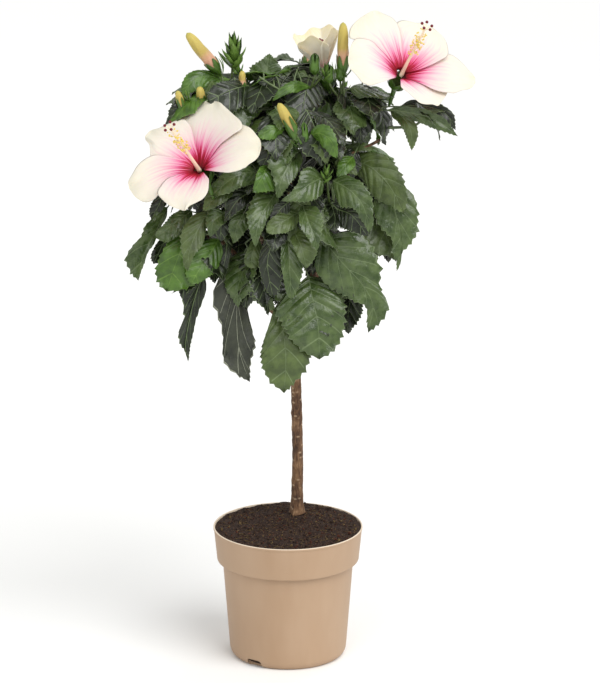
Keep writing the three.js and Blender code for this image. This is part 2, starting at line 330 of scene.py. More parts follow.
def blobs(centres: Array, sizes: Array, rows: int = 4, columns: int = 6, slot: int = 0) -> Surface:
    """Small balls of given half sizes about their centres.

    Args:
        centres: (blobs, 3).
        sizes: (blobs, 3), half sizes along X, Y and Z.
        rows: bands of latitude.
        columns: corners of a band.
        slot: face slot.

    Returns:
        The joined balls.
    """
    points, faces = ball(rows, columns)
    return copies(centres[:, None] + points * sizes[:, None], faces, np.full(len(faces), slot))


def shell(top: Array, sink: Array, wrap: bool = False) -> tuple[Array, Array, Array]:
    """Closed thin shell: a grid and the same grid sunk a little, sharing their outer edge.

    Args:
        top: (..., rows, columns, 3), the face.
        sink: (..., rows, columns, 3) or broadcastable, offset from the face to the back.
        wrap: the columns close on themselves, and only the last row is the edge.

    Returns:
        Points (..., corners, 3), faces of one shell, and True for each face of the back.
    """
    rows, columns = top.shape[-3:-1]
    index = np.arange(rows * columns).reshape(rows, columns)
    back = index + rows * columns
    if wrap:
        back[-1] = index[-1]
    else:
        back[0], back[-1] = index[0], index[-1]
        back[:, 0], back[:, -1] = index[:, 0], index[:, -1]
    points = np.concatenate(
        [top.reshape(*top.shape[:-3], -1, 3), (top + sink).reshape(*top.shape[:-3], -1, 3)], -2
    )
    front = grid_faces(index, wrap)
    faces = np.vstack([front, grid_faces(back, wrap)[:, ::-1]])
    return points, faces, np.arange(len(faces)) >= len(front)


# ---- finishes


def linear(code: str) -> tuple[float, float, float, float]:
    """sRGB hex colour to linear RGBA.

    Args:
        code: the colour as #rrggbb.

    Returns:
        Linear red, green, blue and an alpha of one.
    """
    s = np.array([int(code[i : i + 2], 16) for i in (1, 3, 5)]) / 255
    rgb = np.where(s <= 0.04045, s / 12.92, ((s + 0.055) / 1.055) ** 2.4)
    return (*rgb.tolist(), 1.0)


def add_node(
    tree: bpy.types.NodeTree, kind: str, settings: dict | None = None, links: dict | None = None
) -> bpy.types.ShaderNode:
    """Adds one shader node.

    Args:
        tree: the material's node tree.
        kind: the node's type name, without its ShaderNode prefix.
        settings: values by property name, or by input name or number.
        links: output sockets by input name or number.

    Returns:
        The node.
    """
    made = tree.nodes.new("ShaderNode" + kind)
    for key, value in (settings or {}).items():
        if isinstance(key, str) and hasattr(made, key):
            setattr(made, key, value)
        else:
            made.inputs[key].default_value = value
    for key, socket in (links or {}).items():
        tree.links.new(socket, made.inputs[key])
    return made


def set_inputs(node: bpy.types.Node, values: dict) -> None:
    """Sets a node's unlinked inputs by name."""
    for key, value in values.items():
        node.inputs[key].default_value = value


def dress(tree: bpy.types.NodeTree, shader: bpy.types.Node, sockets: dict) -> None:
    """Links output sockets to the shader's inputs by name."""
    for key, socket in sockets.items():
        tree.links.new(socket, shader.inputs[key])


def new_material(name: str) -> tuple[Material, bpy.types.NodeTree, bpy.types.Node]:
    """Empty node material with its Principled shader.

    Args:
        name: the finish's name.

    Returns:
        The material, its node tree and its shader.
    """
    made = bpy.data.materials.new(name)
    made.use_nodes = True
    return made, made.node_tree, made.node_tree.nodes["Principled BSDF"]


def ramp(
    tree: bpy.types.NodeTree, factor: bpy.types.NodeSocket, stops: Sequence[tuple[float, str]]
) -> bpy.types.Node:
    """Colour ramp over (place, hex colour) stops.

    Args:
        tree: the material's node tree.
        factor: socket that places a colour.
        stops: places and hex colours.

    Returns:
        The ramp node.
    """
    made = add_node(tree, "ValToRGB", links={"Fac": factor})
    elements = made.color_ramp.elements
    while len(elements) < len(stops):
        elements.new(0.5)
    for element, (place, code) in zip(elements, stops):
        element.position = place
        element.color = linear(code)
    return made


@dataclass(frozen=True)
class LeafFinish:
    """Waxy leaf skin: a satin gloss over a faint mottle of chlorophyll, with a fine pebbled grain."""

    name: str
    shade: str
    light: str
    roughness: float = 0.34
    mottle_mm: float = 12.0  # patches of tone across a blade
    grain_mm: float = 4.2  # puckers between the finest veins, drawn coarser than life so that they show
    grain: float = 0.8

    def build(self) -> Material:
        """Makes the material.

        Returns:
            The material.
        """
        made, tree, shader = new_material(self.name)
        place = add_node(tree, "TexCoord").outputs["Object"]
        patches = add_node(
            tree, "TexNoise", {"Scale": 1 / (self.mottle_mm * MM), "Detail": 3.0}, {"Vector": place}
        )
        grain = add_node(
            tree, "TexNoise", {"Scale": 1 / (self.grain_mm * MM), "Detail": 2.0}, {"Vector": place}
        )
        tone = ramp(tree, patches.outputs["Fac"], [(0.34, self.shade), (0.66, self.light)])
        gloss = add_node(
            tree,
            "MapRange",
            {
                "From Min": 0.3, "From Max": 0.7, "To Min": self.roughness - 0.05,
                "To Max": self.roughness + 0.1
            },
            {"Value": patches.outputs["Fac"]},
        )
        bump = add_node(
            tree, "Bump", {"Strength": self.grain, "Distance": 0.8 * MM}, {"Height": grain.outputs["Fac"]}
        )
        dress(tree, shader, {"Base Color": tone.outputs["Color"], "Roughness": gloss.outputs["Result"]})
        dress(tree, shader, {"Normal": bump.outputs["Normal"]})
        set_inputs(shader, {"Specular IOR Level": 0.5})
        return made


@dataclass(frozen=True)
class PetalFinish:
    """Thin silky petal: colour runs from the throat to the edge, drawn out in streaks along the veins.

    The attribute reach is 0 in the throat and 1 at the petal's tip, and across runs between its sides.
    """

    name: str
    stops: tuple[tuple[float, str], ...]
    streaks: float = 0.16
    streak_count: float = 7.0
    softness: float = 0.22

    def build(self) -> Material:
        """Makes the material.

        Returns:
            The material.
        """
        made, tree, shader = new_material(self.name)
        reach = add_node(tree, "Attribute", {"attribute_name": "reach"}).outputs["Fac"]
        across = add_node(tree, "Attribute", {"attribute_name": "across"}).outputs["Fac"]
        place = add_node(tree, "TexCoord").outputs["Object"]
        lines = add_node(tree, "CombineXYZ", links={"X": across, "Y": reach})
        drawn = add_node(
            tree, "Mapping", {"Scale": (self.streak_count, 0.7, 1.0)}, {"Vector": lines.outputs[0]}
        )
        veins = add_node(
            tree, "TexNoise", {"Scale": 1.6, "Detail": 4.0, "Roughness": 0.62}, {"Vector": drawn.outputs[0]}
        )
        shift = add_node(
            tree, "MapRange", {
                "From Min": 0.25, "From Max": 0.75, "To Min": -self.streaks, "To Max": self.streaks
            },
            {"Value": veins.outputs["Fac"]},
        )
        where = add_node(tree, "Math", {"operation": "ADD"}, {0: reach, 1: shift.outputs["Result"]})
        tone = ramp(tree, where.outputs[0], self.stops)
        crinkle = add_node(tree, "TexNoise", {"Scale": 1 / (3.0 * MM), "Detail": 2.0}, {"Vector": place})
        folds = add_node(
            tree, "Math", {"operation": "ADD"}, {0: veins.outputs["Fac"], 1: crinkle.outputs["Fac"]}
        )
        bump = add_node(tree, "Bump", {"Strength": 0.35, "Distance": 0.5 * MM}, {"Height": folds.outputs[0]})
        dress(tree, shader, {"Base Color": tone.outputs["Color"], "Normal": bump.outputs["Normal"]})
        set_inputs(shader, {"Roughness": 0.55, "Specular IOR Level": 0.3, "Subsurface Weight": self.softness})
        set_inputs(shader, {"Subsurface Radius": (1.0, 0.75, 0.6), "Subsurface Scale": 2.0 * MM})
        return made


@dataclass(frozen=True)
class BarkFinish:
    """Young hibiscus bark: grey-brown cork with long fissures over an olive under-bark."""

    name: str = "bark_fissured_olive_brown"
    stops: tuple[tuple[float, str], ...] = (
        (0.34, "#20140b"),
        (0.44, "#503623"),
        (0.54, "#74553a"),
        (0.66, "#a08260"),
    )
    fissure_mm: float = 1.8
    pore_mm: float = 9.0  # spacing of the pale corky pores
    pore: str = "#b39a7c"
    stretch: float = 0.16  # fissures run six times as far along the limb as across

    def build(self) -> Material:
        """Makes the material.

        Returns:
            The material.
        """
        made, tree, shader = new_material(self.name)
        place = add_node(tree, "TexCoord").outputs["Object"]
        drawn = add_node(tree, "Mapping", {"Scale": (1.0, 1.0, self.stretch)}, {"Vector": place})
        fissures = add_node(
            tree, "TexNoise", {"Scale": 1 / (self.fissure_mm * MM), "Detail": 6.0, "Roughness": 0.7},
            {"Vector": drawn.outputs[0]},
        )
        scars = add_node(tree, "TexNoise", {"Scale": 1 / (14 * MM), "Detail": 2.0}, {"Vector": place})
        both = add_node(
            tree, "Mix", {"data_type": "FLOAT", "Factor": 0.35}, {
                2: fissures.outputs["Fac"], 3: scars.outputs["Fac"]
            }
        )
        bark = ramp(tree, both.outputs[0], self.stops)
        squat = add_node(tree, "Mapping", {"Scale": (1.0, 1.0, 1.7)}, {"Vector": place})
        pores = add_node(tree, "TexVoronoi", {"Scale": 1 / (self.pore_mm * MM)}, {"Vector": squat.outputs[0]})
        spots = add_node(
            tree, "MapRange", {"From Min": 0.12, "From Max": 0.3, "To Min": 0.75, "To Max": 0.0},
            {"Value": pores.outputs["Distance"]},
        )
        tone = add_node(
            tree, "Mix", {"data_type": "RGBA", 7: linear(self.pore)},
            {0: spots.outputs["Result"], 6: bark.outputs["Color"]},
        )
        bump = add_node(
            tree, "Bump", {"Strength": 0.8, "Distance": 0.6 * MM}, {"Height": fissures.outputs["Fac"]}
        )
        dress(tree, shader, {"Base Color": tone.outputs[2], "Normal": bump.outputs["Normal"]})
        set_inputs(shader, {"Roughness": 0.8})
        return made


@dataclass(frozen=True)
class PeatFinish:
    """Moist peat compost: nearly black crumb with brown fibre, red-brown bark dust and pale specks."""

    name: str
    dark: str
    brown: str
    speck: str
    crumb_mm: float = 1.8

    def build(self) -> Material:
        """Makes the material.

        Returns:
            The material.
        """
        made, tree, shader = new_material(self.name)
        place = add_node(tree, "TexCoord").outputs["Object"]
        crumb = add_node(
            tree, "TexNoise", {
                "Scale": 1 / (self.crumb_mm * MM), "Detail": 5.0, "Roughness": 0.75
            }, {"Vector": place}
        )
        tone = ramp(tree, crumb.outputs["Fac"], [(0.36, self.dark), (0.54, self.brown), (0.7, self.speck)])
        bump = add_node(
            tree, "Bump", {"Strength": 1.0, "Distance": 1.2 * MM}, {"Height": crumb.outputs["Fac"]}
        )
        dress(tree, shader, {"Base Color": tone.outputs["Color"], "Normal": bump.outputs["Normal"]})
        set_inputs(shader, {"Roughness": 0.9, "Specular IOR Level": 0.25})
        return made


@dataclass(frozen=True)
class MouldedPlasticFinish:
    """Injection-moulded polypropylene: an even, slightly soft sheen with a fine mould texture."""

    name: str = "polypropylene_taupe_moulded"
    colour: str = "#a98b6e"
    worn: str = "#b2967b"
    texture_mm: float = 0.9  # mould grain, drawn coarser than life so that it shows

    def build(self) -> Material:
        """Makes the material.

        Returns:
            The material.
        """
        made, tree, shader = new_material(self.name)
        place = add_node(tree, "TexCoord").outputs["Object"]
        drawn = add_node(tree, "Mapping", {"Scale": (1.0, 1.0, 0.35)}, {"Vector": place})
        clouds = add_node(
            tree, "TexNoise", {"Scale": 1 / (45 * MM), "Detail": 3.0}, {"Vector": drawn.outputs[0]}
        )
        grain = add_node(
            tree, "TexNoise", {"Scale": 1 / (self.texture_mm * MM), "Detail": 2.0}, {"Vector": place}
        )
        tone = ramp(tree, clouds.outputs["Fac"], [(0.35, self.colour), (0.7, self.worn)])
        gloss = add_node(
            tree, "MapRange", {"From Min": 0.3, "From Max": 0.7, "To Min": 0.46, "To Max": 0.6},
            {"Value": clouds.outputs["Fac"]},
        )
        bump = add_node(
            tree, "Bump", {"Strength": 0.12, "Distance": 0.15 * MM}, {"Height": grain.outputs["Fac"]}
        )
        dress(tree, shader, {"Base Color": tone.outputs["Color"], "Roughness": gloss.outputs["Result"]})
        dress(tree, shader, {"Normal": bump.outputs["Normal"]})
        set_inputs(shader, {"IOR": 1.49})
        return made


@dataclass(frozen=True)
class PlainFinish:
    """Small soft part too fine to show a pattern of its own, with a grain in its gloss only."""

    name: str
    colour: str
    roughness: float = 0.6

    def build(self) -> Material:
        """Makes the material.

        Returns:
            The material.
        """
        made, tree, shader = new_material(self.name)
        place = add_node(tree, "TexCoord").outputs["Object"]
        grain = add_node(tree, "TexNoise", {"Scale": 1 / (1.2 * MM), "Detail": 2.0}, {"Vector": place})
        bump = add_node(
            tree, "Bump", {"Strength": 0.4, "Distance": 0.3 * MM}, {"Height": grain.outputs["Fac"]}
        )
        dress(tree, shader, {"Normal": bump.outputs["Normal"]})
        set_inputs(shader, {"Base Color": linear(self.colour), "Roughness": self.roughness})
        return made


# Faces, then the veins and the backs of mature and of young leaves. The vein finishes, and the young back on
# young faces, also paint a thin highlight along each leaf margin.
LEAF_FINISHES = (
    # Near-black mature green: the leaves' own dark tone deepened into painted shade for the inside of the
    # crown.
    LeafFinish("leaf_mature_dark_with_painted_shade", "#131a0c", "#232d17", 0.3),
    LeafFinish("leaf_mature_mid", "#33451f", "#4f6133", 0.26),
    LeafFinish("leaf_mature_olive", "#3a491f", "#536431", 0.36),
    LeafFinish("leaf_young_bright", "#334f12", "#4e7022", 0.34),
    LeafFinish("leaf_vein_and_margin_highlight_mature", "#51613c", "#6b7b52", 0.42, grain=0.1),
    LeafFinish("leaf_back_mature", "#1f2317", "#363a2b", 0.5),
    LeafFinish("leaf_back_vein_and_margin_highlight", "#767a68", "#8f927f", 0.55, grain=0.1),
    LeafFinish("leaf_back_young", "#4a6a1f", "#6b8a3a", 0.48),
)
VEIN, BACK, BACK_VEIN, YOUNG_BACK = 4, 5, 6, 7

PETAL_STOPS = (
    (0.0, "#4c040e"),
    (0.14, "#7a0716"),
    (0.2, "#9a0c22"),
    (0.26, "#bc1c42"),
    (0.31, "#d95a8c"),
    (0.4, "#e59cb4"),
    (0.54, "#e6c8c8"),
    (0.72, "#e4d9cc"),
    (1.0, "#e0d9c4"),
)
BUD_STOPS = ((0.0, "#bd8670"), (0.4, "#c89c7e"), (0.54, "#b59f55"), (0.9, "#bfae5c"), (1.0, "#a9a350"))
BACK_PETAL_STOPS = (
    (0.0, "#c9828a"),
    (0.22, "#dfb0a4"),
    (0.4, "#e8dac4"),
    (0.7, "#eae2cf"),
    (1.0, "#e6d8b0"),
)


# ---- leaves


@dataclass(frozen=True)
class LeafPattern:
    """Net of one leaf blade: rows follow the side veins from the midrib to the margin.

    A row that meets the margin at a share e of the blade leaves the midrib at e^fan, so that the lowest
    veins fan out of the base and all of them run well forward. Each vein has a narrow band of its own and
    ends in a tooth, with one more tooth between two veins.
    """

    veins: int
    columns: tuple[float, ...]  # shares of the half width, beyond the midrib's own band
    teeth: float
    fan: float = 2.2

    def net(self) -> dict[str, Array]:
        """Rows of the net.

        Returns:
            For each row where it meets the margin and the midrib, its tooth and its height between veins,
            and for each space between rows whether it is a vein.
        """
        rows = [(0, 0, 0, 0, 0), (0.04, 0, 0, 0.2, 0), (0.09, 0, 0.0, 0.5, 0), (0.14, 0, -0.3, 0.5, 0)]
        for k in range(self.veins):
            here = 0.19 + 0.7 * k / max(self.veins - 1, 1)
            gap = 0.7 / max(self.veins - 1, 1) if k + 1 < self.veins else 0.09
            rows += [(here - 0.002, -0.0035, 0.9, 0, 1), (here + 0.002, 0.0035, 1.0, 0, 0)]
            rows += [(here + 0.3 * gap, 0, -0.7, 0.9, 0), (here + 0.52 * gap, 0, 0.75, 1.1, 0)]
            rows += [(here + 0.8 * gap, 0, -0.8, 0.8, 0)]
        if not self.veins:
            rows += [(e, 0, 0, 0, 0) for e in (0.28, 0.45, 0.62, 0.78, 0.9)]
        rows.append((1, 0, 0, 0, 0))
        table = np.array(rows, float)
        margin = table[:, 0]
        midrib = np.clip(margin**self.fan + table[:, 1], 0, 1)
        return {"margin": margin, "midrib": midrib, "tooth": table[:, 2], "quilt": table[:, 3],
                "band": table[:-1, 4] > 0}


MATURE = LeafPattern(6, (0.13, 0.3, 0.5, 0.7, 0.88, 0.965, 1.0), 0.055)
FANNED = LeafPattern(5, MATURE.columns, 0.05, 4.2)
BRACT = LeafPattern(0, (0.5, 1.0), 0.0)


@dataclass
class Leaf:
    """Where one leaf blade lies and how it is shaped. Positions in metres, face is its upward normal."""

    base: Array
    tip: Array
    face: Array
    width: float
    tint: Tint
    arch: float = 0.08  # rise of the midrib over its chord, as a share of its length
    fold: float = 0.12  # rise of the halves from the midrib, or fall if negative
    curl: float = 0.1  # droop of the margins
    wave: float = 0.03
    twist: float = 0.0
    sway: float = 0.0  # sideways bow of the midrib, as a share of its length
    hook: float = 0.0  # sideways turn of the last quarter
    widest: float = 0.74  # 0.74 is widest near the base, 1 in the middle
    phase: float = 0.0
    node: Array | None = None  # where its stalk leaves the twig
    lean: float = 0.0  # rise of one half and fall of the other
    uneven: float = 0.07  # difference between the outlines of its halves
    spine: Array | None = None  # points along the midrib, when they are given
    halves: Array | None = None  # half widths at even shares of the blade, one row for each side

    def midrib(self, count: int) -> Array:
        """Points along the midrib: through the spine, or a quadratic curve bowed by arch and sway.

        Args:
            count: number of points.

        Returns:
            Points (count, 3).
        """
        if self.spine is not None:
            return spline(self.spine, count)
        u = np.linspace(0, 1, count)[:, None]
        length = float(np.linalg.norm(self.tip - self.base))
        side = unit(np.cross(self.tip - self.base, self.face))
        middle = (self.base + self.tip) / 2 + 2 * length * (self.arch * unit(self.face) + self.sway * side)
        line = (1 - u) ** 2 * self.base + 2 * u * (1 - u) * middle + u**2 * self.tip
        return line + 12 * self.hook * length * side * np.maximum(u - 0.7, 0) * (1 - u)

    def outline(self, count: int) -> Array:
        """Half widths of both sides, (2, count): through those given, or a skewed sine.

        Args:
            count: number of stations.

        Returns:
            Half widths (2, count).
        """
        share = np.linspace(0, 1, count)
        if self.halves is None:
            return np.tile(blade_width(share, self.widest) * self.width / 2, (2, 1))
        ends = np.zeros((2, 1))
        return np.maximum(spline(np.hstack([ends, self.halves, ends]).T, count).T, 0)


def blade_width(along: Array, widest: Array) -> Array:
    """Half outline of a leaf, 1 at its widest: a sine skewed to the base, drawn out to a fine tip."""
    body = np.abs(np.sin(np.pi * np.clip(along, 0, 1) ** widest)) ** 0.8
    return body * (1 - 0.45 * smooth_step(along, 0.7, 1.0))


def blades(leaves: Sequence[Leaf], pattern: LeafPattern) -> Surface:
    """Closed shells of many leaves at once.

    Each blade point lies on the leaf's midrib, moved aside by the outline's half width times its column,
    and off the blade by the sum of fold, lean, curl, margin waves, the quilting between its veins and two
    slow dents.

    Args:
        leaves: the leaves.
        pattern: the net that they share.

    Returns:
        The joined shells, with face slots in the order of LEAF_FINISHES.
    """
    net = pattern.net()
    margin, midrib, tooth, quilt, band = (net[k] for k in ("margin", "midrib", "tooth", "quilt", "band"))
    side = np.array(pattern.columns)
    columns = np.concatenate([-side[::-1], [-0.02, 0.0, 0.02], side])
    centre = len(side) + 1
    v = columns[None, None]
    face = np.array([unit(leaf.face) for leaf in leaves])[:, None, None]
    names = ("fold", "curl", "wave", "twist", "phase", "lean", "uneven")
    table = np.array([[getattr(leaf, name) for name in names] for leaf in leaves])
    fold, curl, wave, twist, phase, lean, uneven = (table[:, k, None, None] for k in range(len(names)))
    steps = 33
    line = np.array([leaf.midrib(steps) for leaf in leaves])
    edges = np.array([leaf.outline(steps) for leaf in leaves])
    rows = np.arange(len(margin))[None, :, None]
    rough = 1 + 0.5 * np.sin(rows * 2.7 + 5.1 * phase + 1.9 * np.sign(v))
    teeth = pattern.teeth * tooth[None, :, None] * rough * smooth_step(margin, 0.1, 0.35)[None, :, None]
    ahead = 0.45 * np.maximum(teeth, 0)
    along = midrib[None, :, None] + (margin[None, :, None] + ahead - midrib[None, :, None]) * np.abs(v) ** 1.1
    along = np.clip(along, 0, 1)
    along[:, -1], along[:, 0] = 1.0, 0.0
    at = margin * (steps - 1)
    low = np.minimum(at.astype(int), steps - 2)
    sides = edges[..., low] + (edges[..., low + 1] - edges[..., low]) * (at - low)
    half = np.where(v < 0, sides[:, 0, :, None], sides[:, 1, :, None])
    widest = edges.max(axis=(1, 2))[:, None, None]
    reach = half / widest * (1 + teeth)
    reach[:, 0] = reach[:, -1] = 0.0
    at = along * (steps - 1)
    low = np.minimum(at.astype(int), steps - 2)
    which = np.arange(len(leaves))[:, None, None]
    rib = line[which, low] + (line[which, low + 1] - line[which, low]) * (at - low)[..., None]
    slope = np.gradient(line, axis=1)
    forward = unit(slope[which, low] + (slope[which, low + 1] - slope[which, low]) * (at - low)[..., None])
    aside = unit(np.cross(forward, face))
    normal = np.cross(aside, forward)
    turn = (twist * (along - 0.3))[..., None]
    cos, sin = np.cos(turn), np.sin(turn)
    aside, normal = aside * cos + normal * sin, normal * cos - aside * sin
    width = 2 * widest
    across = v * reach * widest * (1 + uneven * np.sin(7 * along + 2.3 * phase) * np.sign(v))
    rib_half = 0.75 * MM * (1 - 0.75 * margin)[None, :, None] * np.sign(v)
    is_rib = (np.abs(columns) < 0.05) & (np.abs(columns) > 0)
    if pattern.veins:
        across = np.where(is_rib[None, None] & (reach > 0), rib_half, across)
    off = fold * np.abs(across) + lean * across - curl * across**2 / widest
    off += wave * width * np.abs(v) ** 2 * np.sin(2 * np.pi * 2.3 * along + phase + 1.7 * np.sign(v))
    ripple = np.sin(2 * np.pi * 5.1 * along + 3 * phase + 2.3 * np.sign(v))
    off += wave * width * 0.5 * np.abs(v) ** 3 * ripple
    off += 0.03 * width * quilt[None, :, None] * np.sin(np.pi * np.clip(np.abs(v), 0, 1)) ** 0.6 * reach
    off += 0.03 * width * np.sin(6 * along + 2.1 * phase) * np.cos(3 * v + phase) * reach
    ridge = np.where(np.arange(len(columns)) == centre, 0.35 * MM, 0.0) if pattern.veins else 0.0
    off += ridge * (reach > 0)
    top = rib + aside * across[..., None] + normal * off[..., None]
    thick = np.full((1, len(columns)), 0.45 * MM)
    thick[:, centre] = 1.3 * MM if pattern.veins else 0.45 * MM
    points, faces, is_back = shell(top, -normal * thick[..., None])
    cells = (columns[:-1] + columns[1:]) / 2
    bands = np.repeat(band[:, None], len(cells), 1) & (np.abs(cells) < 0.9)[None]
    # The outermost strip of each half takes the vein finish: a painted highlight along the leaf margin.
    edge = (np.abs(cells) > 0.97)[None] & (margin[:-1] > 0.03)[:, None]
    vein_and_margin_highlight = bands | edge | (np.abs(cells) < 0.015)[None] if pattern.veins else np.zeros_like(bands)
    vein_and_margin_highlight = np.tile(vein_and_margin_highlight.reshape(-1), 2)
    tint = np.array([leaf.tint.value for leaf in leaves])[:, None]
    young = tint == Tint.BRIGHT.value
    face_slot = np.where(vein_and_margin_highlight[None], np.where(young, YOUNG_BACK, VEIN), tint)
    back_slot = np.where(vein_and_margin_highlight[None] & ~young, BACK_VEIN, np.where(young, YOUNG_BACK, BACK))
    slots = np.where(is_back[None], back_slot, face_slot)
    collapse = np.arange(points.shape[1])
    count, wide = len(margin), len(columns)
    collapse[:wide] = 0
    collapse[(count - 1) * wide : count * wide] = (count - 1) * wide
    return copies(points, collapse[faces][:, ::-1], slots)


# ---- pot, compost


@dataclass
class Pot:
    """Nursery pot: plain tapering wall, a ledge out to a wide rim band, a rolled lip and drainage notches."""

    wall: float = 1.4
    foot_radius: float = 61.0
    wall_foot: Pair = (66.3, 4.2)  # radius and height where the wall leaves the rounded foot
    wall_top: Pair = (74.6, 113.1)
    band_foot: Pair = (80.8, 113.2)
    notch_angles: tuple[float, ...] = (-126.0, 54.0)
    notch_size: Triple = (16.0, 20.0, 18.0)
    segments: int = 160

    def profile(self) -> Array:
        """Outline in mm from the middle of the underside round the wall to the middle of the floor inside.

        Returns:
            Radius and height of each point, (points, 2).
        """
        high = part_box("pot")[1]
        rim, height = high[0] / MM, high[2] / MM
        outer = [
            (0, 0, 0), (self.foot_radius, 0, 1.5), (*self.wall_foot, 5), (*self.wall_top, 0.5),
            (*self.band_foot, 1.6)
        ]
        outer += [(rim - 0.7, height - 3.2, 0.4), (rim, height - 2.6, 0.5), (rim, height, 0.7)]
        inner = [(rim - 1.6, height, 0.6), (rim - 1.9, height - 4, 0.5)]
        band, top, foot = (place[0] - self.wall for place in (self.band_foot, self.wall_top, self.wall_foot))
        inner += [(band, 115.2, 1.5), (top, 114.6, 1.5), (foot, 5.5, 3), (0, 1.6, 0)]
        points = []
        corners = outer + inner
        for k, (x, z, radius) in enumerate(corners):
            here = np.array([x, z], float)
            if radius == 0:
                points.append(here)
                continue
            before = unit(np.array(corners[k - 1][:2], float) - here)
            after = unit(np.array(corners[k + 1][:2], float) - here)
            u = np.linspace(0, 1, 6)[:, None]
            start, end = here + before * radius, here + after * radius
            arc = (1 - u) ** 2 * start + 2 * u * (1 - u) * here + u**2 * end
            points += list(arc)
        return np.array(points)

    def build(self) -> bpy.types.Object:
        """Turns the profile round Z and cuts the drainage notches through the foot.

        Returns:
            The pot.
        """
        outline = self.profile() * MM
        angle = circle(self.segments)
        rings = stacked(outline[:, :1] * np.cos(angle), outline[:, :1] * np.sin(angle), outline[:, 1:])
        index = np.arange(len(outline) * self.segments).reshape(len(outline), -1)
        index[0], index[-1] = index[0, 0], index[-1, 0]
        faces = grid_faces(index, True)[:, ::-1]
        rim, height = (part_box("pot")[1][k] for k in (0, 2))
        # The top of the lip gets a paler plastic: partly rubbed wear, partly a painted highlight where the
        # rim catches the light.
        on_lip = (outline[:-1, 0] > rim - 1.9 * MM) & (outline[:-1, 1] > height - 0.8 * MM)
        body = Surface(rings.reshape(-1, 3), faces, np.repeat(on_lip, self.segments).astype(float))
        lip_wear_and_highlight = MouldedPlasticFinish("polypropylene_lip_worn_and_painted_highlight", "#d6c3ab", "#dfcfba")
        pot = body.piece("nursery_pot", [MouldedPlasticFinish().build(), lip_wear_and_highlight.build()], Slot.POT)
        self.cut_notches(pot)
        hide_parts("pot")
        return pot

    def cut_notches(self, pot: bpy.types.Object) -> None:
        """Cuts one rounded slot through wall and floor at each notch angle.

        Args:
            pot: the turned pot.
        """
        depth, width, height = (s * MM for s in self.notch_size)
        parts = []
        for angle in np.radians(self.notch_angles):
            points, faces = ball(12, 24)
            block = np.sign(points) * np.abs(points) ** 0.4 * np.array([depth, width, height]) / 2
            block[:, 0] += self.foot_radius * MM + depth / 2 - 2.5 * MM
            turned = np.stack(
                [
                    block[:, 0] * np.cos(angle) - block[:, 1] * np.sin(angle),
                    block[:, 0] * np.sin(angle) + block[:, 1] * np.cos(angle),
                    block[:, 2],
                ],
                -1,
            )
            parts.append(Surface(turned, faces, np.zeros(len(faces))))
        cutter = Surface.join(parts)
        mesh = bpy.data.meshes.new("cutter")
        mesh.from_pydata(cutter.points.tolist(), [], [list(dict.fromkeys(f)) for f in cutter.faces.tolist()])
        tool = bpy.data.objects.new("cutter", mesh)
        bpy.context.scene.collection.objects.link(tool)
        cut = pot.modifiers.new("notches", "BOOLEAN")
        cut.operation, cut.solver, cut.object = "DIFFERENCE", "EXACT", tool
        bpy.context.view_layer.update()
        result = bpy.data.meshes.new_from_object(pot.evaluated_get(bpy.context.evaluated_depsgraph_get()))
        pot.modifiers.clear()
        pot.data = result
        bpy.data.objects.remove(tool)


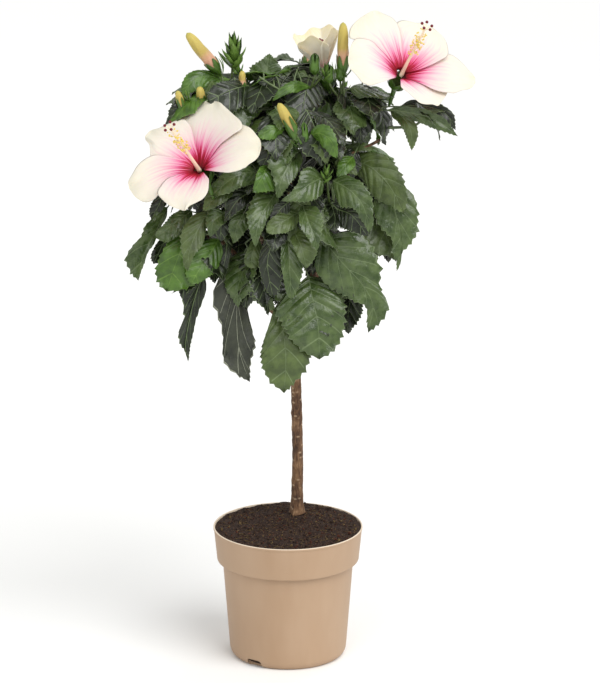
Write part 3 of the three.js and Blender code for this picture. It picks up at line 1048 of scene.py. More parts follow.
@dataclass
class Compost:
    """Peat compost: a closed body that fills the pot, mounded round the trunk, with loose crumbs on top."""

    foot: Pair = (10.3, 34.0)
    edge_height: float = 147.6
    spread: float = 42.0
    banked: float = 2.6  # how much higher it lies against the back of the pot
    rings: int = 90
    segments: int = 180
    crumbs: int = 900

    def height(self, x: Array, y: Array) -> Array:
        """Surface height in metres: a low mound round the trunk, with random unevenness.

        Args:
            x: places from side to side, in metres.
            y: places from front to back, in metres.

        Returns:
            Heights in metres.
        """
        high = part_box("compost")[1]
        edge, top = self.edge_height * MM, high[2] - 0.3 * MM
        distance = np.hypot(x - self.foot[0] * MM, y - self.foot[1] * MM)
        rise = (top - edge) * np.exp(-((distance / (self.spread * MM)) ** 2))
        place = np.stack([x, y, np.zeros_like(x)], -1)
        rough = ripples(place, 22 * MM, 5, 3) * 0.9 * MM + ripples(place, 5 * MM, 6, 3) * 0.45 * MM
        bank = self.banked * MM * smooth_step(y, -62 * MM, -10 * MM) * smooth_step(
            np.hypot(x, y), 40 * MM, 80 * MM
        )
        return edge + rise + bank + rough * smooth_step(distance, 6 * MM, 14 * MM)

    def build(self) -> None:
        """Makes the body and the crumbs."""
        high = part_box("compost")[1]
        edge = high[0] - 0.1 * MM
        radius = np.linspace(0, edge, self.rings)[:, None]
        angle = circle(self.segments)
        x, y = radius * np.cos(angle), radius * np.sin(angle)
        top = np.stack([x, y, self.height(x, y)], -1)
        sides = np.array([(79.0, 115.6), (72.8, 115.0), (63.6, 6.0), (58.0, 2.2), (0.0, 2.2)]) * MM
        wall = stacked(sides[:, :1] * np.cos(angle), sides[:, :1] * np.sin(angle), sides[:, 1:])
        grid = np.concatenate([top, wall])
        index = np.arange(grid.shape[0] * self.segments).reshape(grid.shape[0], -1)
        index[0], index[-1] = index[0, 0], index[-1, 0]
        faces = grid_faces(index, True)
        peat = PeatFinish("peat_moist", "#150e0b", "#33241d", "#6d5238").build()
        bark_dust = PeatFinish("peat_bark_dust", "#2a1610", "#4d2a1e", "#7d5138").build()
        moss = PeatFinish("peat_dry_fibre", "#3a3020", "#665234", "#9a8256").build()
        body = Surface(
            grid.reshape(-1, 3), faces, np.zeros(len(faces))
        ).piece("peat_body", [peat], Slot.COMPOST)
        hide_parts("compost")
        self.scatter(edge, [peat, bark_dust, moss])

    def scatter(self, edge: float, finishes: Sequence[Material]) -> None:
        """Loose crumbs and short fibres over the surface, at random within the rim.

        Args:
            edge: radius of the surface, in metres.
            finishes: peat, bark dust and fibre.
        """
        rng = np.random.default_rng(SEED + 1)
        radius = (edge - 4 * MM) * np.sqrt(rng.uniform(0, 1, self.crumbs))
        angle = rng.uniform(0, 2 * np.pi, self.crumbs)
        x, y = radius * np.cos(angle), radius * np.sin(angle)
        clear = np.hypot(x - self.foot[0] * MM, y - self.foot[1] * MM) > 8 * MM
        x, y = x[clear], y[clear]
        size = rng.uniform(0.5, 1.7, (len(x), 3)) * MM * rng.choice(
            [0.7, 1.0, 1.5], (len(x), 1), p=[0.6, 0.3, 0.1]
        )
        centres = np.stack([x, y, self.height(x, y) + size[:, 2] * 0.3], -1)
        kinds = rng.choice(3, len(x), p=[0.62, 0.25, 0.13])
        parts = [blobs(centres[kinds == k], size[kinds == k], slot=k) for k in range(3)]
        fibres = 160
        spot = rng.integers(0, len(x), fibres)
        heading = rng.uniform(0, 2 * np.pi, fibres)
        length = rng.uniform(3, 9, fibres) * MM
        step = np.stack(
            [np.cos(heading) * length, np.sin(heading) * length, rng.uniform(-0.6, 1.2, fibres) * MM], -1
        )
        start = centres[spot]
        end = start + step
        inside = np.hypot(end[:, 0], end[:, 1]) < edge - 1.5 * MM
        start, end = start[inside], end[inside]
        end[:, 2] = self.height(end[:, 0], end[:, 1]) + 0.5 * MM
        lift = np.tile([0, 0, 0.8 * MM], (len(start), 1))
        paths = bend_between(start, end, lift, 4)
        parts.append(tubes(paths, np.full(paths.shape[:2], 0.28 * MM), 4, slot=2))
        Surface.join(parts).piece("peat_crumbs", finishes, Slot.COMPOST)


# ---- limbs


@dataclass
class Limb:
    """The centre line of one packed bough."""

    node: str
    bins: int = 7

    def line(self) -> Array:
        """Centre line of the solid, from its lower end up.

        The solid's corners are sorted along the line from its lowest ring to its farthest point, put into
        bins, and each bin's mean is a centre.

        Returns:
            Centres (bins, 3).
        """
        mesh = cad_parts[self.node].data
        points = np.zeros(len(mesh.vertices) * 3)
        mesh.vertices.foreach_get("co", points)
        points = np.unique(points.reshape(-1, 3).round(6), axis=0)
        start = points[np.argsort(points[:, 2])[:6]].mean(0)
        far = points[np.argmax(np.linalg.norm(points - start, axis=1))]
        along = (points - start) @ unit(far - start)
        bins = np.clip((along / along.max() * self.bins).astype(int), 0, self.bins - 1)
        kept = [k for k in range(self.bins) if (bins == k).sum() >= 5]
        return np.array([points[bins == k].mean(0) for k in kept])


def spline(points: Array, count: int) -> Array:
    """Even points on a smooth curve through the given ones: Catmull-Rom with its ends carried on.

    Args:
        points: (n, d), at least two.
        count: number of points wanted.

    Returns:
        Array (count, d).
    """
    first, last = 2 * points[0] - points[1], 2 * points[-1] - points[-2]
    p = np.vstack([first, points, last])
    t = np.linspace(0, len(points) - 1 - 1e-9, count)
    k = t.astype(int)
    f = (t - k)[:, None]
    a, b, c, d = p[k], p[k + 1], p[k + 2], p[k + 3]
    return 0.5 * (2 * b + (c - a) * f + (2 * a - 5 * b + 4 * c - d) * f**2 + (3 * b - a - 3 * c + d) * f**3)


@dataclass
class Limbs:
    """The trunk and boughs; the twigs that carry the leaves on from them are made with the foliage."""

    trunk_foot: Triple = (10.3, 34.0, 156.0)
    fork: Triple = (10.0, 24.0, 400.0)
    sway: float = 0.8
    trunk_girth: Pair = (6.9, 5.6)  # radius at the foot and at the fork
    bough_girth: Pair = (4.3, 1.7)  # radius at the fork and among the leaves
    sides: int = 44
    scars: tuple[Triple, ...] = (
        (0.36, -20.0, 1.5),
        (0.42, 200.0, 1.3),
        (0.5, -60.0, 1.2),
        (0.16, 230.0, 1.6),
        (0.24, 320.0, 1.3),
        (0.68, 180.0, 1.3),
        (0.8, -15.0, 1.2),
    )

    def trunk_line(self, count: int) -> Array:
        """Trunk centres: a straight lean from foot to fork with one slow sway to the side.

        Args:
            count: number of points.

        Returns:
            Points (count, 3) in metres.
        """
        along = np.linspace(0, 1, count)[:, None]
        foot, fork = np.array(self.trunk_foot), np.array(self.fork)
        line = foot + (fork - foot) * along
        line[:, 0] += self.sway * np.sin(2 * np.pi * along[:, 0])
        return line * MM

    def barked(self, path: Array, radii: Array, seed: int, flare: bool = False) -> Surface:
        """One limb with relief: rings round the path, their radius swollen by fissures, knots and flare.

        Args:
            path: centres (rings, 3).
            radii: (rings,).
            seed: seed of the relief.
            flare: adds the leaf scars and the root flare of the trunk.

        Returns:
            A closed tube.
        """
        sides = self.sides if flare else 18
        made = tubes(path[None], radii[None], sides)
        rings = len(path)
        body = made.points[: rings * sides].reshape(rings, sides, 3)
        out = unit(body - path[:, None])
        turn = circle(sides)
        height = np.linalg.norm(np.diff(path, axis=0, prepend=path[:1]), axis=1).cumsum()
        probe = stacked(np.cos(turn)[None] * 3 * MM, np.sin(turn)[None] * 3 * MM, (height * 0.22)[:, None])
        relief = -0.06 * np.abs(
            ripples(probe, 4.5 * MM, seed, 3)
        ) + 0.05 * ripples(probe, 9 * MM, seed + 1, 2)
        bumps = np.zeros((rings, sides))
        if flare:
            share = height / height[-1]
            for place, side, swell in self.scars:
                near = (share[:, None] - place) * height[-1] / (3.2 * MM)
                round_it = np.angle(np.exp(1j * (turn[None] - np.radians(side)))) / 0.62
                bumps += swell * MM * np.exp(-(near**2) - round_it**2)
            lobes = 1.0 + 0.5 * np.cos(3 * turn + 0.6)[None] + 0.22 * np.cos(5 * turn + 2)[None]
            bumps += 2.5 * MM * lobes * np.exp(-height / (9 * MM))[:, None]
        body += out * (relief * radii[:, None] + bumps)[..., None]
        made.points[: rings * sides] = body.reshape(-1, 3)
        return made

    def build(self, bark: Material) -> dict[str, Array]:
        """Makes the trunk and the boughs.

        Args:
            bark: their finish.

        Returns:
            Centre line of each bough, by its node's name.
        """
        path = self.trunk_line(260)
        share = np.linspace(0, 1, len(path))
        foot, fork = self.trunk_girth
        radii = (foot + (fork - foot) * share) * MM
        trunk = self.barked(path, radii, 11, flare=True).piece("trunk_bark", [bark], Slot.BARK)
        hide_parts("trunk")
        lines: dict[str, Array] = {}
        for seed, node in enumerate(sorted(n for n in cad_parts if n.startswith("bough_"))):
            centres = Limb(node).line()
            ahead = unit(centres[-1] - centres[-2]) * 26 * MM + UP * 4 * MM
            root = path[-1] * 0.7 + centres[0] * 0.3
            centres = np.vstack([root, centres, centres[-1] + ahead])
            girth = np.interp(np.linspace(0, 1, 60), [0, 1], self.bough_girth) * MM
            line = spline(centres, 60)
            bough = self.barked(line, girth, 30 + seed).piece(node + "_bark", [bark], Slot.BARK)
            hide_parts(node)
            lines[node] = line
        return lines


# ---- foliage


@dataclass(frozen=True)
class Growth:
    """How one mass of leaves fills its space: number of shoots and leaves, and the size of its leaves."""

    node: str
    shoots: int
    leaves: int
    shortest: float = 55.0
    longest: float = 98.0
    near: float = 0.0  # share of the box's depth, from the front, that is left to the placed leaves
    young: float = 0.15
    inset: float = 0.0  # share of the box's width kept clear on each side
    shaded: int = 5  # dark leaves in the shade round the hub, their near-black tint partly painted shade


GROWTHS = (
    Growth("mass_top", 4, 16, 45, 78, young=0.25),
    Growth("mass_upper_left", 3, 11, 45, 74, 0.2, 0.15),
    Growth("mass_upper_right", 3, 12, 45, 74, 0.1, 0.15),
    Growth("mass_right_spray", 1, 2, 40, 50, 0.3, 0.0, 0.3, 0),
    Growth("mass_front_upper", 3, 8, 45, 66, 0.35, 0.2),
    Growth("mass_front_middle", 4, 12, 55, 80, 0.45, 0.0, 0.1),
    Growth("mass_front_left", 2, 5, 50, 70, 0.5, 0.0, 0.1),
    Growth("mass_front_low", 1, 1, 60, 70, 0.6, 0.0, 0.25, 1),
    Growth("hanging_front", 0, 0, shaded=0),
    Growth("mass_left", 4, 15, 55, 80, 0.3, 0.05, 0.1, 8),
    Growth("mass_lower_left", 2, 5, 55, 75, 0.45, 0.0, 0.2, 3),
    Growth("mass_far_left", 0, 0, shaded=0),
    Growth("hanging_left", 0, 0, shaded=0),
    Growth("hanging_front_left", 0, 0, shaded=0),
    Growth("mass_right", 3, 8, 55, 75, 0.4, 0.0, 0.25, 6),
    Growth("mass_lower_right", 2, 3, 50, 62, 0.45, 0.0, 0.3, 1),
    Growth("mass_back_left", 4, 18, 60, 95, young=0.1, shaded=8),
    Growth("mass_back", 4, 18, 60, 95, young=0.1, shaded=8),
    Growth("mass_back_right", 4, 18, 60, 95, young=0.1, shaded=8),
    Growth("mass_back_top", 4, 16, 50, 85, young=0.2, shaded=8),
    Growth("mass_back_low_left", 3, 10, 55, 76, 0.0, 0.0, 0.05, 5),
    Growth("mass_back_low_right", 3, 10, 55, 76, 0.0, 0.0, 0.05, 5),
)


@dataclass(frozen=True)
class PlacedLeaf:
    """A leaf that gives the outline its shape, listed one by one. Lengths in mm.

    The spine runs from the base to the tip. The half widths stand at even shares of the blade, square to
    the midrib and to the line of sight from the front, and so they are the same whatever the blade's lean.
    """

    mass: str
    tint: Tint
    spine: tuple[Triple, ...]
    left: tuple[float, ...]
    right: tuple[float, ...]
    lean: float = 0.0
    fold: float = 0.1
    curl: float = 0.15
    wave: float = 0.03
    underside: bool = False  # shows its back to the front

    def leaf(self, number: int) -> Leaf:
        """The blade itself, in metres.

        Args:
            number: its place in the list, which sets the phase of its waves.

        Returns:
            The blade.
        """
        spine = np.array(self.spine) * MM
        face = direction(FRONT_AZIMUTH, FRONT_ELEVATION) * (-1 if self.underside else 1)
        halves = np.array([self.left, self.right]) * MM
        made = Leaf(
            spine[0], spine[-1], face, 2 * float(halves.max()), self.tint, fold=self.fold, curl=self.curl
        )
        made.wave, made.lean, made.uneven, made.phase = self.wave, self.lean, 0.0, 1.3 * number
        made.spine, made.halves = spine, halves
        return made


FRONT_AZIMUTH, FRONT_ELEVATION = 270.0, 16.0  # side from which the placed leaves are set out
D, M, O, B = Tint.DARK, Tint.MID, Tint.OLIVE, Tint.BRIGHT
PLACED = tuple(PlacedLeaf(*row) for row in (
    ("mass_far_left", M, ((-133, -13, 529), (-145, -33, 507), (-158, -44, 483), (-165, -48, 453)),
     (4, 3, 3, 5, 3, 3, 1), (8, 10, 13, 11, 15, 18, 11), 0.5, 0.35, 0.1, 0.05),
    ("mass_far_left", D, ((-133, -9, 555), (-141, -22, 536), (-151, -26, 518)),
     (1, 9, 8, 7, 6, 6, 5), (1, 7, 8, 8, 8, 7, 5), 0.3),
    ("mass_left", D, ((-124, -11, 511), (-137, -24, 491), (-149, -28, 467)),
     (1, 10, 11, 12, 11, 9, 7), (1, 4, 5, 6, 7, 7, 6), 0.3),
    ("mass_lower_left", B, ((-97, -25, 514), (-118, -47, 486), (-134, -54, 442)),
     (11, 20, 25, 29, 30, 30, 21), (7, 12, 16, 18, 19, 19, 15), 0.2, 0.12, 0.25, 0.05),
    ("mass_lower_left", M, ((-106, -24, 527), (-125, -39, 516), (-146, -44, 501)),
     (9, 11, 13, 14, 13, 13, 11), (8, 9, 10, 9, 7, 6, 5), -0.3, 0.1, 0.2),
    ("mass_lower_left", O, ((-87, -36, 530), (-100, -50, 509), (-108, -59, 489), (-110, -62, 468)),
     (7, 8, 11, 11, 8, 5, 3), (11, 15, 16, 14, 10, 6, 5), 0.15, 0.2, 0.25),
    ("mass_lower_left", B, ((-76, -27, 496), (-87, -43, 480), (-98, -53, 466), (-107, -56, 451)),
     (10, 13, 15, 15, 13, 11, 7), (12, 14, 15, 15, 13, 12, 9), 0.2, 0.12, 0.2),
    ("mass_left", M, ((-68, -42, 530), (-81, -52, 522), (-84, -56, 505)),
     (8, 10, 10, 10, 9, 7, 3), (7, 10, 12, 9, 7, 5, 4), -0.2, 0.3, 0.1),
    ("mass_front_left", D, ((-67, -26, 491), (-69, -35, 476), (-73, -38, 458)),
     (5, 5, 5, 5, 5, 5, 3), (5, 5, 5, 5, 5, 5, 4)),
    ("hanging_left", D,
     ((-93, -19, 456), (-104, -26, 425), (-112, -32, 390), (-114, -35, 370), (-111, -36, 356)),
     (9, 9, 7, 7, 6, 5, 3), (13, 13, 6, 9, 6, 1, 0), 0.6, 0.7, 0.1, 0.04),
    ("hanging_front_left", D,
     ((-52, -21, 463), (-56, -34, 427), (-56, -43, 389), (-51, -48, 362), (-42, -50, 337)),
     (23, 27, 19, 16, 19, 19, 10), (9, 10, 14, 18, 18, 11, 5), 0.1, 0.2, 0.15, 0.03, True),
    ("mass_front_left", O, ((-32, -28, 499), (-38, -43, 485), (-41, -48, 467)),
     (0, 8, 9, 9, 9, 9, 9), (1, 6, 6, 7, 8, 8, 7), 0.2, 0.15),
    ("mass_front_left", O, ((-43, -27, 467), (-34, -44, 449), (-14, -50, 419)),
     (5, 8, 8, 7, 7, 6, 4), (8, 11, 12, 14, 12, 11, 8), 0.1, 0.1, 0.2),
    ("mass_front_left", D, ((-13, -48, 508), (-22, -58, 477), (-16, -62, 437)),
     (11, 13, 14, 15, 15, 13, 9), (8, 9, 10, 10, 9, 8, 6), -0.2, 0.1, 0.2),
    ("mass_front_left", M, ((0, -51, 508), (2, -68, 478), (4, -74, 438)),
     (7, 12, 14, 15, 14, 11, 6), (7, 8, 9, 9, 8, 7, 5), 0.3, 0.5, 0.2),
    ("hanging_front", O, ((-10, -36, 427), (-5, -50, 397), (-2, -59, 365), (-4, -62, 328)),
     (9, 13, 17, 22, 27, 22, 11), (9, 15, 21, 26, 28, 26, 18), 0, 0.08),
    ("mass_front_low", M, ((23, -31, 455), (28, -51, 432), (34, -62, 403), (35, -66, 368)),
     (22, 31, 34, 34, 30, 26, 18), (17, 31, 43, 40, 37, 33, 23), 0.1, 0.06, 0.2),
    ("mass_lower_right", M, ((37, -37, 500), (60, -47, 474), (82, -54, 451), (94, -59, 428), (89, -60, 397)),
     (33, 38, 35, 25, 14, 17, 10), (25, 29, 27, 22, 17, 8, 5), -0.15, 0.08, 0.2),
    ("mass_right", O, ((71, 3, 579), (93, -13, 573), (113, -23, 554), (129, -26, 524)),
     (11, 15, 20, 20, 18, 14, 9), (13, 17, 19, 21, 22, 19, 8), -0.25, 0.12, 0.25),
    ("mass_right", M, ((107, -4, 555), (118, -13, 527), (125, -19, 499), (126, -23, 480), (121, -24, 457)),
     (21, 26, 23, 19, 10, 1, 2), (19, 23, 21, 12, 10, 11, 3), 0.1, 0.12),
    ("mass_front_middle", D, ((54, -40, 533), (71, -55, 529), (88, -60, 507)),
     (7, 9, 9, 9, 9, 8, 6), (11, 18, 18, 18, 16, 12, 6), -0.1),
    ("mass_right", O, ((64, 4, 589), (76, -3, 595), (93, -7, 595), (101, -8, 589)),
     (4, 4, 4, 4, 1, 1, 1), (7, 7, 6, 5, 5, 1, 0), 0.3),
    ("mass_front_middle", M, ((50, -49, 567), (68, -69, 561), (83, -80, 545), (90, -84, 516)),
     (11, 13, 15, 14, 12, 8, 6), (14, 19, 20, 15, 10, 8, 4), -0.2, 0.12, 0.25),
    ("mass_front_middle", M, ((39, -52, 572), (24, -70, 568), (10, -80, 560), (-7, -84, 553)),
     (15, 17, 17, 15, 12, 7, 4), (15, 18, 15, 9, 7, 4, 2), 0.1, 0.12, 0.2),
    ("mass_front_middle", M, ((17, -56, 541), (22, -74, 529), (29, -84, 514), (33, -88, 498)),
     (12, 15, 16, 14, 10, 6, 3), (6, 8, 10, 10, 8, 6, 4), 0.1, 0.4, 0.1),
    ("mass_front_middle", O, ((6, -53, 513), (15, -75, 499), (21, -82, 476)),
     (8, 11, 13, 15, 16, 14, 8), (7, 8, 8, 8, 7, 6, 3), 0.1, 0.15),
    ("mass_front_middle", M, ((-12, -44, 553), (-25, -65, 538), (-33, -78, 521), (-35, -82, 500)),
     (9, 8, 7, 7, 7, 5, 3), (16, 18, 17, 16, 11, 7, 4), 0.15, 0.12, 0.2),
    ("mass_front_middle", O, ((13, -50, 532), (-5, -69, 526), (-23, -76, 515)),
     (6, 12, 13, 13, 12, 9, 6), (9, 11, 11, 10, 10, 9, 7), -0.2, 0.1, 0.2),
    ("mass_front_middle", D, ((3, -50, 545), (-8, -60, 537), (-17, -64, 524)),
     (2, 9, 9, 9, 8, 7, 3), (6, 7, 7, 8, 7, 7, 6)),
    ("mass_front_upper", M, ((14, -36, 599), (2, -57, 587), (-7, -70, 572), (-11, -74, 552)),
     (9, 11, 13, 13, 11, 9, 5), (13, 17, 21, 21, 11, 5, 3), 0.15, 0.2),
    ("mass_front_upper", B, ((-22, -56, 586), (-28, -71, 575), (-38, -76, 560)),
     (9, 12, 16, 20, 17, 12, 6), (6, 7, 7, 7, 5, 4, 2), 0.4, 0.1, 0.3),
    ("mass_front_upper", B, ((5, -42, 614), (-14, -57, 627), (-33, -62, 619)),
     (7, 9, 11, 11, 11, 10, 6), (0, 3, 4, 4, 6, 5, 4), -0.2, 0.1, 0.3),
    ("mass_front_upper", B, ((20, -45, 611), (33, -65, 624), (47, -76, 618), (54, -80, 599)),
     (4, 5, 10, 11, 8, 5, 3), (8, 13, 10, 11, 11, 10, 7), -0.3, 0.05, 0.4),
    ("mass_front_upper", D, ((63, -41, 611), (49, -54, 607), (33, -58, 592)),
     (1, 9, 9, 9, 8, 6, 3), (4, 9, 9, 10, 9, 10, 8)),
    ("mass_front_upper", D, ((-28, -38, 608), (-19, -53, 605), (-28, -58, 583)),
     (2, 4, 4, 7, 6, 6, 3), (20, 22, 18, 14, 14, 13, 8)),
    ("mass_upper_left", B, ((-64, 19, 666), (-90, 3, 673), (-106, -7, 668), (-115, -10, 653)),
     (8, 12, 13, 12, 12, 10, 5), (4, 6, 8, 10, 10, 8, 6), -0.3, 0.1, 0.3),
    ("mass_upper_left", D, ((-40, 13, 661), (-62, -18, 662), (-88, -28, 651)),
     (14, 19, 23, 23, 24, 23, 15), (6, 8, 10, 12, 13, 13, 10), -0.2),
    ("mass_upper_left", D, ((-107, -6, 649), (-118, -21, 643), (-132, -26, 628)),
     (1, 7, 8, 8, 7, 6, 3), (1, 6, 7, 9, 8, 7, 3), 0.2),
    ("mass_top", M, ((-24, 16, 664), (-23, 26, 677), (-20, 30, 693)),
     (13, 16, 19, 18, 12, 7, 4), (15, 17, 17, 17, 15, 11, 5), 0.2),
    ("mass_top", M, ((24, 10, 670), (9, 19, 677), (-7, 22, 675)),
     (1, 8, 9, 9, 9, 8, 5), (1, 4, 4, 5, 5, 5, 4), -0.3),
    ("mass_top", B, ((31, 10, 658), (6, -14, 666), (-17, -22, 650)),
     (1, 4, 8, 8, 6, 4, 2), (1, 3, 5, 5, 5, 5, 3), -0.3, 0.05, 0.3),
    ("mass_top", D, ((14, 14, 666), (-8, 4, 664), (-35, 0, 669)),
     (4, 6, 6, 8, 7, 6, 4), (6, 7, 9, 9, 8, 7, 4)),
    ("mass_top", D, ((-28, 11, 635), (-41, -2, 645), (-57, -6, 635)),
     (2, 16, 16, 15, 15, 13, 10), (1, 3, 2, 4, 5, 6, 4)),
    ("mass_right_spray", O, ((114, 10, 633), (128, -4, 627), (136, -13, 614), (137, -16, 593)),
     (5, 6, 9, 8, 8, 7, 4), (6, 7, 8, 8, 7, 6, 3), 0.1, 0.25),
    ("mass_right_spray", M, ((111, 4, 635), (137, -4, 633), (164, -8, 626), (188, -10, 608)),
     (5, 6, 7, 7, 6, 6, 3), (0, 7, 8, 9, 10, 8, 4), -0.2, 0.3),
    ("mass_left", M, ((-28, -36, 574), (-56, -55, 574), (-85, -62, 552)),
     (10, 13, 14, 14, 13, 11, 6), (1, 8, 10, 10, 10, 9, 8), -0.2),
    ("mass_left", D, ((-35, -33, 553), (-54, -50, 546), (-70, -56, 522)),
     (9, 10, 10, 11, 10, 7, 4), (10, 11, 12, 11, 10, 7, 3), -0.1),
    ("mass_front_left", M, ((-41, -31, 534), (-54, -48, 520), (-60, -54, 497)),
     (11, 12, 13, 13, 11, 9, 5), (9, 10, 11, 9, 9, 7, 3), 0.1),
    ("mass_left", O, ((-61, -40, 559), (-76, -55, 553), (-93, -60, 536)),
     (8, 10, 11, 11, 10, 8, 5), (7, 8, 9, 10, 9, 8, 4), -0.2),
    ("mass_left", D, ((-61, -32, 532), (-72, -42, 519), (-74, -46, 497)),
     (9, 11, 12, 12, 11, 9, 5), (8, 8, 9, 7, 7, 6, 3), 0.1),
    ("mass_left", D, ((-80, -24, 544), (-90, -33, 532), (-94, -36, 513)),
     (8, 10, 11, 11, 10, 8, 5), (7, 8, 8, 8, 8, 7, 3), 0.1),
    ("mass_front_upper", B, ((73, -23, 589), (64, -40, 583), (54, -46, 570)),
     (1, 8, 9, 9, 8, 7, 3), (1, 8, 8, 8, 8, 5, 3), -0.2),
    ("mass_front_upper", O, ((56, -20, 586), (65, -35, 580), (77, -40, 571)),
     (7, 7, 8, 8, 8, 5, 3), (7, 7, 8, 9, 7, 4, 2), 0.2),
    ("mass_right", D, ((76, 3, 594), (69, -10, 581), (71, -14, 560)),
     (2, 12, 12, 13, 13, 12, 6), (1, 7, 6, 7, 6, 4, 2), 0.2),
    ("mass_right_spray", D, ((125, 18, 636), (151, 10, 638), (175, 6, 630), (186, 4, 612)),
     (6, 6, 6, 7, 6, 6, 3), (7, 8, 7, 9, 9, 7, 4), 0.2, 0.3),
    ("mass_front_middle", D, ((38, -27, 483), (31, -34, 471), (27, -36, 456)),
     (9, 9, 8, 8, 7, 5, 2), (8, 7, 6, 5, 4, 3, 1), 0.2),
))


# Bare wood that shows: start and end in mm, and the radius at each
BARE_TWIGS = (
    ((-76, -2, 490), (-44, -16, 462), 2.8, 2.4),
    ((62, -4, 584), (102, -6, 603), 1.2, 1.9),
)
GREEN_WOOD_HEIGHT = 0.6


